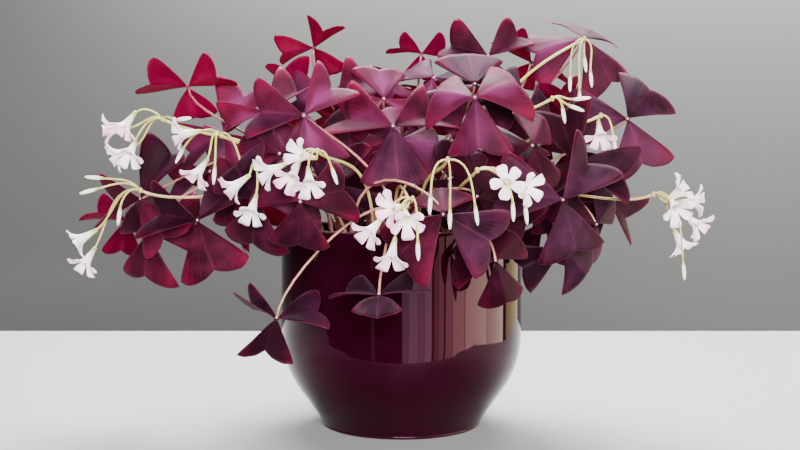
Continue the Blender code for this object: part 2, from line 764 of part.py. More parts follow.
def deep_leaves():
    """The darker leaves that fill the front between the stalks."""
    draw = random.Random("deep leaves")
    leaves = []
    for index in range(DEEP_COUNT):
        share = (index + 0.5) / DEEP_COUNT * 2.0 - 1.0
        shifts = [share * DEEP_REACH[0]] + [draw.uniform(-reach, reach) for reach in DEEP_REACH[1:]]
        leaves.append(Leaf(
            f"deep_{index + 1}",
            tuple(middle + shift for middle, shift in zip(DEEP_MIDDLE, shifts)),
            draw.uniform(-30.0, 30.0),
            draw.uniform(-5.0, 30.0),
            draw.uniform(0.0, 120.0),
            draw.uniform(*DEEP_LENGTH),
            folds=draw.choice((OPEN, CUPPED, ROOFED)),
            roam=DEEP_ROAM,
        ))
    return leaves


def back_leaves():
    """The leaves that the front hides, in rings round the back of the plant."""
    draw = random.Random("back leaves")
    leaves = []
    for ring, (height, reach, tilt, count) in enumerate(BACK_RINGS):
        for index in range(count):
            share = (index + 0.5) / count
            azimuth = BACK_FROM + (BACK_TO - BACK_FROM) * share + draw.uniform(-7.0, 7.0)
            out = direction(azimuth, 0.0)
            place = out * (reach + draw.uniform(-BACK_SCATTER, BACK_SCATTER))
            up = height + draw.uniform(-BACK_SCATTER, BACK_SCATTER)
            leaves.append(Leaf(
                f"back_{ring + 1}_{index + 1}",
                (place.x, place.y, up),
                azimuth + draw.uniform(-20.0, 20.0),
                tilt + draw.uniform(-10.0, 15.0),
                draw.uniform(0.0, 120.0),
                draw.uniform(*BACK_LENGTH),
            ))
    return leaves


def arrange():
    """Place every spray and then every leaf: the sprays, and the leaves by the spot they grow from."""
    bed = Bed()
    sprays = [placed for placed in (place_spray(spray, bed) for spray in SPRAYS) if placed]
    clumps = {}
    for leaf in deep_leaves() + list(LEAVES) + back_leaves():
        placed = place_leaf(leaf, bed)
        if placed:
            clumps.setdefault(placed[1], []).append(placed)
    return sprays, clumps


def new_material(name, colour, roughness):
    """A plain material of one colour."""
    material = bpy.data.materials.new(name)
    material.use_nodes = True
    shader = material.node_tree.nodes["Principled BSDF"]
    shader.inputs["Base Color"].default_value = (*colour, 1.0)
    shader.inputs["Roughness"].default_value = roughness
    return material


def new_collection(name):
    """A collection in the scene."""
    collection = bpy.data.collections.new(name)
    bpy.context.scene.collection.children.link(collection)
    return collection


def new_object(name, mesh, collection, material=None):
    """An object for a mesh."""
    made = bpy.data.objects.new(name, mesh)
    collection.objects.link(made)
    if material:
        mesh.materials.append(material)
    return made


def mesh_from(name, points, faces):
    """A mesh in metres from points in millimetres."""
    mesh = bpy.data.meshes.new(name)
    mesh.from_pydata([tuple(point * MM) for point in points], [], faces)
    return mesh


def turned(name, profile, sides, collection, material):
    """A solid turned from a section in millimetres."""
    mesh = bpy.data.meshes.new(name)
    points = [(radius * MM, 0.0, height * MM) for radius, height in profile]
    mesh.from_pydata(points, [(index, index + 1) for index in range(len(points) - 1)], [])
    made = new_object(name, mesh, collection, material)
    screw = made.modifiers.new("Turn", "SCREW")
    screw.axis = "Z"
    screw.steps = sides
    screw.render_steps = sides
    screw.use_merge_vertices = True
    screw.merge_threshold = TURNED_WELD
    screw.use_smooth_shade = False
    return made


def stalk_section(collection):
    """The three-sided section that every stalk has, one metre in radius."""
    curve = bpy.data.curves.new("stalk section", "CURVE")
    curve.dimensions = "2D"
    spline = curve.splines.new("POLY")
    spline.points.add(STALK_SIDES - 1)
    spline.use_cyclic_u = True
    for index, point in enumerate(spline.points):
        angle = 2 * math.pi * index / STALK_SIDES
        point.co = (math.cos(angle), math.sin(angle), 0.0, 1.0)
    section = bpy.data.objects.new("stalk section", curve)
    section.hide_render = True
    collection.objects.link(section)
    return section


def stalk(name, corners, steps, root_radius, tip_radius, collection):
    """A slim tapering stalk as a mesh, from a curve with filled caps."""
    curve = bpy.data.curves.new(name, "CURVE")
    curve.dimensions = "3D"
    curve.bevel_mode = "OBJECT"
    curve.bevel_object = bpy.data.objects["stalk section"]
    curve.use_fill_caps = True
    spline = curve.splines.new("POLY")
    spline.points.add(steps)
    for index, point in enumerate(spline.points):
        share = index / steps
        point.co = (*(bezier(corners, share) * MM), 1.0)
        point.radius = (root_radius + (tip_radius - root_radius) * share) * MM
    rough = bpy.data.objects.new(name, curve)
    collection.objects.link(rough)
    bpy.context.view_layer.update()
    mesh = bpy.data.meshes.new_from_object(rough.evaluated_get(bpy.context.evaluated_depsgraph_get()))
    weld(mesh)
    bpy.data.objects.remove(rough)
    return new_object(name, mesh, collection)


def weld(mesh):
    """Join a mesh's doubled points."""
    work = bmesh.new()
    work.from_mesh(mesh)
    bmesh.ops.remove_doubles(work, verts=work.verts, dist=STALK_WELD)
    bmesh.ops.recalc_face_normals(work, faces=work.faces)
    work.to_mesh(mesh)
    work.free()


def peg(name, place, depth, rise, radius, collection):
    """An upright four-sided peg, from a depth under a place to a rise above it."""
    mesh = bpy.data.meshes.new(name)
    work = bmesh.new()
    size = {"radius1": radius * MM, "radius2": radius * MM, "depth": (depth + rise) * MM}
    bmesh.ops.create_cone(work, cap_ends=True, segments=HOLE_SIDES, **size)
    bmesh.ops.translate(work, verts=work.verts, vec=(place + Vector((0, 0, (rise - depth) / 2))) * MM)
    work.to_mesh(mesh)
    work.free()
    return new_object(name, mesh, collection)


def joined(base, pieces):
    """Join a node's pieces to its base with one union, and remove them."""
    union = base.modifiers.new("Join", "BOOLEAN")
    union.operation = "UNION"
    union.operand_type = "COLLECTION"
    union.collection = pieces
    union.solver = "EXACT"
    bpy.context.view_layer.update()
    mesh = bpy.data.meshes.new_from_object(base.evaluated_get(bpy.context.evaluated_depsgraph_get()))
    base.modifiers.clear()
    base.data = mesh
    keep_main_body(mesh)
    for piece in list(pieces.objects):
        bpy.data.objects.remove(piece)
    bpy.data.collections.remove(pieces)


def keep_main_body(mesh):
    """Drop every shell but the largest, so a hollow sealed by the union is filled and no scrap stays."""
    work = bmesh.new()
    work.from_mesh(mesh)
    waiting = set(work.verts)
    shells = []
    while waiting:
        shell = set()
        edge_of_shell = [waiting.pop()]
        while edge_of_shell:
            corner = edge_of_shell.pop()
            shell.add(corner)
            around = {edge.other_vert(corner) for edge in corner.link_edges} & waiting
            waiting -= around
            edge_of_shell.extend(around)
        shells.append(shell)
    shells.sort(key=len)
    for shell in shells[:-1]:
        bmesh.ops.delete(work, geom=list(shell), context="VERTS")
    bmesh.ops.remove_doubles(work, verts=work.verts, dist=SHORTEST_EDGE)
    work.to_mesh(mesh)
    work.free()


def build_clump(number, spot, leaves, collection, material):
    """A clump: its crown in the soil, with up to three leaves on their stalks."""
    name = f"leaves_{number:02d}"
    place = spot_place(spot)
    pieces = new_collection(f"{name} pieces")
    base = peg(name, place, HOLE_DEPTH - SOIL_GAP, CROWN_ABOVE_SOIL, CROWN_RADIUS, collection)
    for leaf, _, corners in leaves:
        stalk(f"{leaf.name} stalk", corners, STALK_STEPS, STALK_ROOT_RADIUS, STALK_TIP_RADIUS, pieces)
        blade = mesh_from(f"{leaf.name} blade", *thickened(*leaf_sheet(leaf), BLADE_THICKNESS))
        new_object(blade.name, blade, pieces)
    joined(base, pieces)
    base.data.materials.append(material)
    return base


def build_spray(spray, spot, corners, collection, material):
    """A spray: its foot in the soil, its scape, and a flower or a bud on each thin stalk."""
    name = f"spray_{spray.name}"
    place = spot_place(spot)
    pieces = new_collection(f"{name} pieces")
    base = peg(name, place, HOLE_DEPTH - SOIL_GAP, CROWN_ABOVE_SOIL, SCAPE_FOOT_RADIUS, collection)
    stalk(f"{name} scape", corners, SCAPE_STEPS, SCAPE_RADIUS, SCAPE_RADIUS, pieces)
    hub = Vector(spray.hub)
    add_bead(f"{name} hub", hub, HUB_BEAD_RADIUS, pieces)
    for index, flower in enumerate(spray.flowers):
        thin = pedicel_corners(hub, flower)
        steps = PEDICEL_STEPS if flower.is_open else BUD_STALK_STEPS
        stalk(f"{name} stalk {index}", thin, steps, PEDICEL_RADIUS, PEDICEL_RADIUS, pieces)
        if flower.is_open:
            mesh = mesh_from(f"{name} flower {index}", *flower_mesh(flower))
            new_object(mesh.name, mesh, pieces)
        else:
            add_bud(f"{name} bud {index}", flower, pieces)
    joined(base, pieces)
    base.data.materials.append(material)
    return base


def add_bead(name, place, radius, collection):
    """The small bead where stalks part."""
    mesh = bpy.data.meshes.new(name)
    work = bmesh.new()
    bmesh.ops.create_icosphere(work, subdivisions=1, radius=radius * MM)
    bmesh.ops.translate(work, verts=work.verts, vec=place * MM)
    work.to_mesh(mesh)
    work.free()
    return new_object(name, mesh, collection)


def add_bud(name, flower, collection):
    """A closed bud, long and pointed, on its stalk's end."""
    look = direction(flower.azimuth, flower.elevation)
    mesh = bpy.data.meshes.new(name)
    work = bmesh.new()
    bmesh.ops.create_uvsphere(work, u_segments=BUD_SIDES, v_segments=3, radius=1.0)
    bmesh.ops.scale(work, verts=work.verts, vec=Vector((BUD_RADIUS, BUD_RADIUS, BUD_LENGTH / 2)) * MM)
    turn = look.to_track_quat("Z", "Y").to_matrix()
    bmesh.ops.rotate(work, verts=work.verts, matrix=turn)
    bmesh.ops.translate(work, verts=work.verts, vec=Vector(flower.place) * MM)
    work.to_mesh(mesh)
    work.free()
    return new_object(name, mesh, collection)


def build_soil(sprays, clumps, collection, cutters, material):
    """The soil that fills the pot, with a plain hole for each clump and each scape."""
    soil = turned("soil", soil_profile(), POT_SIDES, collection, material)
    radii = {spot: CROWN_RADIUS for spot in clumps}
    radii.update({spot: SCAPE_FOOT_RADIUS for _, spot, _ in sprays})
    for spot in sorted(radii):
        peg(f"hole {spot}", spot_place(spot), HOLE_DEPTH, HOLE_OPENS_ABOVE, radii[spot] + HOLE_GAP, cutters)
    for cutter in cutters.objects:
        cutter.hide_render = True
        cutter.display_type = "WIRE"
    cut = soil.modifiers.new("Holes", "BOOLEAN")
    cut.operation = "DIFFERENCE"
    cut.operand_type = "COLLECTION"
    cut.collection = cutters
    return soil


def main():
    """Build the potted plant."""
    for old in list(bpy.data.objects):
        bpy.data.objects.remove(old)
    plant = new_collection("potted_oxalis")
    cutters = new_collection("cutters")
    glaze = new_material("plum_glaze", (0.055, 0.014, 0.028), 0.12)
    peat = new_material("soil", (0.030, 0.018, 0.012), 0.95)
    leaf_purple = new_material("leaf_purple", (0.110, 0.020, 0.055), 0.5)
    petal_white = new_material("petal_white", (0.85, 0.78, 0.80), 0.5)
    section = stalk_section(new_collection("guides"))
    turned("pot", pot_profile(), POT_SIDES, plant, glaze)
    sprays, clumps = arrange()
    build_soil(sprays, clumps, plant, cutters, peat)
    for number, spot in enumerate(sorted(clumps), start=1):
        build_clump(number, spot, clumps[spot], plant, leaf_purple)
    for spray, spot, corners in sprays:
        build_spray(spray, spot, corners, plant, petal_white)
    bpy.data.objects.remove(section)


main()
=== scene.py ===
"""The looks of a purple oxalis in a glazed plum pot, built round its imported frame.

The arrangement of leaves and sprays repeats the one in the part's source, in millimetres, so that each fine
piece lies where its plain solid does. MM turns millimetres to metres when a mesh is made.
"""

import math
import random
from dataclasses import dataclass, replace

import bmesh
import bpy
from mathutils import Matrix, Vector, noise
from mathutils.bvhtree import BVHTree


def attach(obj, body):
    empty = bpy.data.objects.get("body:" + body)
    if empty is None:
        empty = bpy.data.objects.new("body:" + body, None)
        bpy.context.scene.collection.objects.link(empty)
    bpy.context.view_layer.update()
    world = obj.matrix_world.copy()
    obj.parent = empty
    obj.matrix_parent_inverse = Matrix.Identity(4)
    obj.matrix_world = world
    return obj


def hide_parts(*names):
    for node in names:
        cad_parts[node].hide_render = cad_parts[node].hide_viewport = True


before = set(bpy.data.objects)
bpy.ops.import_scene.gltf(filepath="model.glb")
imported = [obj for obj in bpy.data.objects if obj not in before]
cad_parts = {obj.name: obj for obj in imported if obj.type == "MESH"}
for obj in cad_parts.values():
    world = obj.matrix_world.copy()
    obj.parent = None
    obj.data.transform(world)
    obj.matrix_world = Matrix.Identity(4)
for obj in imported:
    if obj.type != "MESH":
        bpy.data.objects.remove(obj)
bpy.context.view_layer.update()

MM = 0.001
UP = Vector((0, 0, 1))

# The pot: a straight-sided bowl that tapers to its foot, with its taper as radius and height, and the foot's
# edge as a step out from the foot and a height
POT_HEIGHT = 133.0
POT_RADIUS = 80.0
FOOT_RADIUS = 51.5
WALL = 5.0
POT_FLOOR = 6.0
LIP_ROUND = 1.6
FOOT_ROUND = 1.8
SHOULDER_HEIGHT = 56.0
POT_SIDES = 30
WALL_HEIGHTS = (SHOULDER_HEIGHT, 35.5, 22.0)
TAPER = ((78.4, 47.0), (73.6, 35.5), (65.5, 22.0), (57.5, 9.5))
FOOT_EDGE = ((1.2, FOOT_ROUND), (-0.6, 0.0))

# The soil and the spots where stems stand in it
SOIL_EDGE_HEIGHT = 117.0
SOIL_CROWN_HEIGHT = 121.0
CROWN_RADIUS = 3.6
SPOT_COUNT = 42
SPOT_FIELD_RADIUS = 62.0
GOLDEN_ANGLE = math.radians(137.508)
STEMS_LEAN_IN = 0.36
LEAVES_PER_CLUMP = 3

# One leaf: three leaflets round a hub, on a slim stalk
LEAFLETS = 3
WIDTH_TO_LENGTH = 1.41
HUB_RADIUS = 1.7
LEAFLET_ROOT = HUB_RADIUS * math.cos(math.radians(90.0 / LEAFLETS))
CURL = (4.0, 24.0)
NOTCH = (0.08, 0.20)
NOTCH_POWER = 3
CORNER_ROUND = (0.06, 0.15)
CORNER_POWER = 7
SIDE_FULLNESS = 0.05
SIDE_PULL_IN = 0.06
SIDE_PULL_POWER = 10
LEAFLET_OUTLINE = ((-1.0, 0.9), (-0.84, 1.0), (0.0, 1.0), (0.84, 1.0), (1.0, 0.9))
RIB_POINT = (0.0, 0.5)
LENGTH_SPREAD = 0.06
DROOP_SPREAD = 9.0
FOLD_SPREAD = 9.0
STALK_ROOT_RADIUS = 1.15
STALK_TIP_RADIUS = 0.85
STALK_STEPS = 4
STALK_ARRIVES = 0.3
HANGS_BELOW = 30.0
HANGS_FULLY = 45.0
HANGING_LOOK = 0.6
HANGING_DOWN = 1.6
LOW_LEAF = 25.0
LOW_STALK_RISE = (0.55, 1.0)
STALK_RISE = (0.25, 0.6)
STALK_BOW = 22.0
ROOT_OFFSET = 1.2
ROOTS_APART = 0.5
ROOT_LEANS_FROM = 0.5

# One spray: a scape, a fan of thin stalks, and a funnel flower or a bud on each
SCAPE_RADIUS = 0.95
SCAPE_STEPS = 4
SCAPE_RISE = (0.4, 0.8)
SCAPE_BOW = 25.0
SCAPE_ARRIVES_UP = 0.5
HUB_BEAD_RADIUS = 1.9
PEDICEL_RADIUS = 0.6
PEDICEL_UPWARD = 0.9
PEDICEL_START = 0.5
PEDICEL_RISE = 0.45
PEDICEL_ARRIVES = 0.35
PEDICEL_STEPS = 3
BUD_STALK_STEPS = 2
PETALS = 5
FLOWER_LENGTH = 19.0
FLOWER_RADIUS = 8.8
THROAT_RADIUS = 2.9
THROAT_LENGTH = 11.5
PETAL_THICKNESS = 0.65
PETAL_SPREAD = 0.62
FUNNEL_DEPTH = 4.5
FUNNEL_FOOT = 0.4
MOUTH_BACK = 1.0
INNER_STEP = 0.3
STALK_INTO_FLOWER = 3.0
STALK_INTO_BUD = 2.0
BUD_LENGTH = 12.5
BUD_RADIUS = 1.55
BUD_SUNK = 0.5

# How far things keep from each other, and how far they may move, while they are placed
BLADE_ROOM = 1.4
BLADE_ABOVE_SOIL = 4.0
STALK_ROOM = 0.4
ATTEMPTS = 400
STALK_TRIES = 9
SPOTS_TRIED = 8
RAISED_START = 11.0
LEAST_RISE = 0.9
TEST_SIDES = 4
POT_ROOM = 1.5
POT_TEST_INSET = 12.0
POT_TEST_HEIGHT = 24.0
BUD_ROOM = 0.3
FIRST_SHARE = 0.3
LEAF_SIGHT_ROAM = 34.0
LEAF_TURN_ROAM = 20.0
LEAF_LIFT_ROAM = 18.0
LEAF_DROOP_ROAM = (-10.0, 20.0)
LEAF_SHRINK = 0.15
SPRAY_SIGHT_ROAM = 24.0
SPRAY_ROAM = 5.0
EYE = Vector((0.0, -810.0, 178.0))
SEED = 21

# How the three leaflets of a leaf fold along their ribs: above 0 like a roof, below 0 like raised wings
OPEN = (12.0, 12.0, 12.0)
WINGS = (6.0, -34.0, -34.0)
CUPPED = (-26.0, -26.0, -26.0)
ROOFED = (34.0, 26.0, 26.0)


@dataclass(frozen=True)
class Leaf:
    """A leaf's hub, the way its face looks, the turn of its first leaflet, its size, bends and freedom."""

    name: str
    hub: tuple
    azimuth: float
    elevation: float
    roll: float
    length: float
    droop: float = 14.0
    folds: tuple = OPEN
    roam: float = 7.0


@dataclass(frozen=True)
class Bend:
    """One leaflet's length, and how it bends, folds and ends."""

    length: float
    droop: float
    fold: float
    curl: float
    notch: float
    corner_round: float


@dataclass(frozen=True)
class Flower:
    """A flower's mouth or a bud's middle, and the way it looks."""

    place: tuple
    azimuth: float
    elevation: float
    is_open: bool = True


@dataclass(frozen=True)
class Spray:
    """The point where a spray's thin stalks part, and what they carry."""

    name: str
    hub: tuple
    flowers: tuple


def bud(place, azimuth, elevation):
    """A closed flower."""
    return Flower(place, azimuth, elevation, False)


# Azimuth 0 looks at the front, 90 to the right and 180 to the back. Elevation 90 looks up.
LEAVES = (
    Leaf("crest_front", (46, -66, 212), 0, 25, 270, 36, 18, ROOFED),
    Leaf("crest_right", (72, -46, 206), 0, 28, 248, 38, 8),
    Leaf("crown_right", (122, 10, 258), 10, 40, 185, 37, 18),
    Leaf("crown_left", (-59, 10, 252), 170, 48, 0, 23, 8, CUPPED),
    Leaf("arch_left", (-141, -5, 225), 190, 40, 140, 28, 8, CUPPED),
    Leaf("centre_high", (-5, -62, 199), 0, 34, 272, 37, 12, WINGS),
    Leaf("upper_left", (-86, -45, 202), -8, 32, 300, 36, 10, WINGS),
    Leaf("upper_left_in", (-60, -50, 200), 0, 24, 35, 35, 6, CUPPED),
    Leaf("crest_mid", (45, -15, 225), 0, 45, 215, 36, 10),
    Leaf("right_high", (143, -30, 204), 10, 15, 165, 37, 6, OPEN),
    Leaf("right_front", (95, -85, 154), 10, 12, 285, 37, 12, WINGS),
    Leaf("right_rear", (108, -52, 176), 0, 10, 105, 36, 0, CUPPED),
    Leaf("left_skirt", (-86, -80, 152), -10, 5, 250, 33, 12),
    Leaf("left_front", (-62, -92, 158), -10, 15, 275, 34),
    Leaf("low_corner", (-75, -86, 82), -5, 50, 20, 28, 4, (-16.0, -62.0, 12.0)),
    Leaf("low_centre", (-15, -112, 99), 0, 60, 150, 25, 8, CUPPED),
    Leaf("skirt_centre", (24, -112, 147), 0, 25, 215, 36, 20, OPEN),
    Leaf("skirt_right", (54, -98, 119), 10, 20, 290, 31, 10, ROOFED),
    Leaf("crown_mid_left", (-21, 20, 240), 0, 62, 75, 31, 24),
    Leaf("crown_curl", (14, 45, 251), 170, 45, 40, 20, 6, CUPPED),
    Leaf("crown_mid", (23, 5, 230), 0, 45, 15, 30),
    Leaf("crown_right_in", (60, 20, 247), 0, 26, 155, 28, 6, CUPPED),
    Leaf("crown_small", (92, 35, 242), 165, 50, 60, 27, 8, CUPPED),
    Leaf("upper_left_back", (-43, -15, 214), 10, 30, 40, 32, 6, CUPPED),
    Leaf("back_red", (-66, 5, 216), 172, 30, 85, 29, 6, CUPPED),
    Leaf("crest_left", (-15, -35, 211), 0, 25, 100, 33, 8, WINGS),
    Leaf("right_red", (114, -10, 211), 175, 30, 85, 27, 6, CUPPED, 14),
    Leaf("left_mid", (-116, -25, 193), -15, 15, 80, 36, 4, CUPPED),
    Leaf("left_dark", (-128, -50, 139), -15, 15, 290, 36, 12, WINGS),
    Leaf("outer_left", (-166, -30, 154), -35, 15, 300, 37, 8, WINGS),
    Leaf("low_left", (-164, -20, 130), -25, 8, 260, 36, 14),
    Leaf("left_between", (-126, -15, 170), -15, 15, 320, 31, 10, CUPPED, 16),
    Leaf("left_behind", (-106, 5, 160), -10, 10, 270, 32, 10, OPEN, 14),
    Leaf("far_left", (-181, 0, 141), 178, 25, 45, 29, 6, CUPPED),
    Leaf("right_hang", (124, -45, 138), 25, 0, 280, 34, 16, ROOFED),
    Leaf("right_out", (139, -10, 148), 40, 10, 95, 35, 10, WINGS),
    Leaf("right_low", (98, -76, 126), 5, 10, 205, 29, 16, ROOFED, 16),
)

SPRAYS = (
    Spray("left_high", (-149, -50, 202), (
        Flower((-188, -52, 195), -80, -5),
        Flower((-174, -64, 192), -50, -50),
        Flower((-184, -48, 177), -70, -25),
        Flower((-170, -62, 175), -20, -50),
        bud((-134, -62, 202), 60, 5),
    )),
    Spray("left_low", (-161, -62, 158), (
        bud((-188, -66, 166), -85, 5),
        bud((-190, -72, 158), -85, -15),
        bud((-172, -72, 143), -40, -80),
        Flower((-205, -62, 124), -75, -30),
        Flower((-198, -68, 108), -40, -50),
    )),
    Spray("left_fan", (-113, -64, 193), (
        Flower((-139, -78, 191), -65, -10),
        bud((-136, -64, 180), -60, -60),
        Flower((-127, -80, 163), -50, -50),
        bud((-113, -78, 168), -20, -80),
        bud((-97, -72, 172), 50, -70),
    )),
    Spray("left_inner", (-86, -94, 175), (
        Flower((-104, -100, 157), -70, -35),
        Flower((-89, -108, 141), -20, -55),
    )),
    Spray("centre_left", (-49, -103, 182), (
        Flower((-64, -112, 181), -50, 10),
        Flower((-83, -110, 168), -60, -20),
        Flower((-66, -116, 162), -25, -40),
        Flower((-52, -120, 158), 10, -50),
        bud((-39, -108, 168), 40, -60),
    )),
    Spray("centre_long", (26, -122, 177), (
        bud((42, -128, 146), 30, -75),
        bud((16, -126, 152), -20, -80),
        bud((27, -130, 144), 0, -85),
    )),
    Spray("centre_fall", (6, -126, 155), (
        Flower((-11, -134, 149), -50, -5),
        Flower((4, -141, 139), 10, -35),
        Flower((-22, -132, 132), -50, -40),
        Flower((-7, -142, 117), -20, -60),
        bud((9, -138, 127), 10, -80),
    )),
    Spray("star", (43, -118, 171), (
        Flower((59, -130, 165), -5, 5),
        Flower((76, -122, 160), 40, -10),
        bud((63, -124, 148), 10, -80),
        bud((71, -118, 146), 20, -75),
    )),
    Spray("right", (160, -40, 155), (
        Flower((180, -50, 161), 60, 35),
        Flower((194, -38, 150), 85, 0),
        Flower((172, -60, 142), 10, -35),
        Flower((190, -52, 132), 50, -35),
        Flower((182, -38, 117), 60, -60),
        bud((176, -56, 108), 20, -80),
    )),
    Spray("top_right", (120, -8, 256), (
        bud((110, -14, 227), -10, -80),
        bud((116, -16, 217), 0, -85),
        bud((124, -12, 230), 20, -80),
        bud((121, -6, 240), 10, -70),
    )),
    Spray("right_upper", (94, -50, 215), (
        bud((108, -54, 209), 60, -20),
        bud((112, -50, 215), 70, 5),
        bud((100, -58, 205), 20, -70),
    )),
    Spray("right_hidden", (127, -34, 205), (
        Flower((126, -42, 186), 0, -55),
        bud((135, -38, 188), 30, -75),
    )),
    Spray("back_left", (-70, 105, 195), (
        Flower((-88, 112, 188), 205, -15),
        Flower((-72, 124, 180), 180, -25),
        bud((-60, 116, 176), 160, -60),
    )),
    Spray("back_right", (85, 95, 180), (
        Flower((104, 100, 174), 130, -15),
        Flower((88, 114, 166), 175, -30),
        bud((74, 108, 164), 200, -60),
    )),
)

# Leaves deep in the front of the plant: the middle of the room they fill, its reach, and their count
DEEP_MIDDLE = (5.0, -58.0, 168.0)
DEEP_REACH = (85.0, 16.0, 20.0)
DEEP_COUNT = 12
DEEP_ROAM = 10.0
DEEP_LENGTH = (29.0, 34.0)
DEEP_AZIMUTH = (-30.0, 30.0)
DEEP_ELEVATION = (-5.0, 30.0)
ANY_ROLL = (0.0, 120.0)

# The back of the plant: leaves in rings, each ring with its height, reach from the pot's axis, tilt and count
BACK_RINGS = (
    (222, 55, 55, 3),
    (200, 100, 35, 5),
    (165, 135, 20, 6),
    (135, 122, 5, 3),
)
BACK_FROM = 82.0
BACK_TO = 278.0
BACK_SCATTER = 8.0
BACK_SWAY = 7.0
BACK_TURN = (-20.0, 20.0)
BACK_LIFT = (-10.0, 15.0)
BACK_LENGTH = (32.0, 38.0)


def direction(azimuth, elevation):
    """The unit vector that looks along an azimuth and an elevation."""
    turn = math.radians(azimuth)
    rise = math.radians(elevation)
    level = math.cos(rise)
    return Vector((math.sin(turn) * level, -math.cos(turn) * level, math.sin(rise)))


def facing(thing):
    """The way a leaf, a flower or a bud looks."""
    return direction(thing.azimuth, thing.elevation)


def swing(draw, reach):
    """A drawn number that lies no further than reach below or above 0."""
    return draw.uniform(-reach, reach)


def clamped(value, low, high):
    """The value, no lower than low and no higher than high."""
    return min(max(value, low), high)


def around(middle, level, upright, angle, radius):
    """A point on the circle about a middle, at an angle that turns from level to upright."""
    return middle + (level * math.cos(angle) + upright * math.sin(angle)) * radius


def turned(radius, angle, height):
    """A point at a radius, an angle and a height round the pot's axis."""
    return Vector((radius * math.cos(angle), radius * math.sin(angle), height))


def circle(middle, level, upright, radius, sides):
    """Points all round a middle, in the plane of the two directions."""
    return [around(middle, level, upright, 2 * math.pi * side / sides, radius) for side in range(sides)]


def turned_rings(profile, sides):
    """Points all round the pot's axis at each radius and height of a profile."""
    turns = [2 * math.pi * side / sides for side in range(sides)]
    return [turned(radius, turn, height) for radius, height in profile for turn in turns]


def bands(rings, sides, first=0, inward=False):
    """The quads between rings of points that follow each other, from the point numbered first."""
    faces = []
    for ring in range(rings - 1):
        for side in range(sides):
            a = first + ring * sides + side
            b = first + ring * sides + (side + 1) % sides
            faces.append((a, a + sides, b + sides, b) if inward else (a, b, b + sides, a + sides))
    return faces


def halves(quads):
    """Each quad cut into two triangles."""
    return [half for a, b, c, d in quads for half in ((a, b, c), (a, c, d))]


def bezier(corners, t):
    """The point at t on the cubic curve that four corners steer."""
    a, b, c, d = corners
    s = 1.0 - t
    return a * s ** 3 + b * (3 * s * s * t) + c * (3 * s * t * t) + d * t ** 3


def leaflet_point(u, v, bend):
    """A leaflet's point along, across and above its hub, u from edge to edge and v from base to tip."""
    edge = abs(u)
    tip_line = 1.0 - bend.notch * (1.0 - edge) ** NOTCH_POWER - bend.corner_round * edge ** CORNER_POWER
    side_line = v * (1.0 + SIDE_FULLNESS - SIDE_FULLNESS * v) - SIDE_PULL_IN * v ** SIDE_PULL_POWER
    reach = bend.length * v * tip_line
    across = bend.length * WIDTH_TO_LENGTH / 2 * u * side_line
    slope = math.radians(bend.droop + bend.curl * v)
    mean_slope = math.radians(bend.droop + bend.curl * v / 2)
    fall = abs(across) * math.sin(math.radians(bend.fold))
    along = reach * math.cos(mean_slope) - fall * math.sin(slope)
    above = -reach * math.sin(mean_slope) - fall * math.cos(slope)
    return along, across * math.cos(math.radians(bend.fold)), above


def leaf_frame(leaf):
    """The directions of a leaf's first leaflet, of its side, and of the look of its upper face."""
    look = facing(leaf)
    turn = math.radians(leaf.azimuth)
    right = Vector((math.cos(turn), math.sin(turn), 0.0))
    roll = math.radians(leaf.roll)
    first = right * math.cos(roll) + look.cross(right) * math.sin(roll)
    return first, look.cross(first), look


def leaflet_bends(leaf):
    """How each of a leaf's three leaflets bends."""
    draw = random.Random(leaf.name + " leaflets")
    bends = []
    for fold in leaf.folds:
        bends.append(Bend(
            length=leaf.length * (1.0 + swing(draw, LENGTH_SPREAD)),
            droop=leaf.droop + swing(draw, DROOP_SPREAD),
            fold=fold + swing(draw, FOLD_SPREAD),
            curl=draw.uniform(*CURL),
            notch=draw.uniform(*NOTCH),
            corner_round=draw.uniform(*CORNER_ROUND),
        ))
    return bends


def leaflets_of(leaf):
    """The outward and the sideways direction of each of a leaf's leaflets, with the leaflet's bend."""
    first, side, _ = leaf_frame(leaf)
    found = []
    for index, bend in enumerate(leaflet_bends(leaf)):
        angle = math.radians(index * 360.0 / LEAFLETS)
        out = first * math.cos(angle) + side * math.sin(angle)
        across = side * math.cos(angle) - first * math.sin(angle)
        found.append((out, across, bend))
    return found


def leaf_sheet(leaf):
    """Points and triangles of a leaf's three leaflets, without thickness."""
    first, side, look = leaf_frame(leaf)
    hub = Vector(leaf.hub)
    ring_turns = [math.radians((corner - 0.5) * 180.0 / LEAFLETS) for corner in range(2 * LEAFLETS)]
    points = [around(hub, first, side, angle, HUB_RADIUS) for angle in ring_turns]
    triangles = [(1, 3, 5), (1, 2, 3), (3, 4, 5), (5, 0, 1)]
    for index, (out, across, bend) in enumerate(leaflets_of(leaf)):
        base = len(points)
        for u, v in (*LEAFLET_OUTLINE, RIB_POINT):
            x, y, z = leaflet_point(u, v, bend)
            points.append(hub + out * (LEAFLET_ROOT + x) + across * y + look * z)
        low, high = 2 * index, 2 * index + 1
        rim = [base + step for step in range(len(LEAFLET_OUTLINE))]
        rib = base + len(LEAFLET_OUTLINE)
        triangles += [(low, rib, high), (low, rim[0], rib), (high, rib, rim[-1])]
        triangles += [(start, end, rib) for start, end in zip(rim, rim[1:])]
    return points, triangles


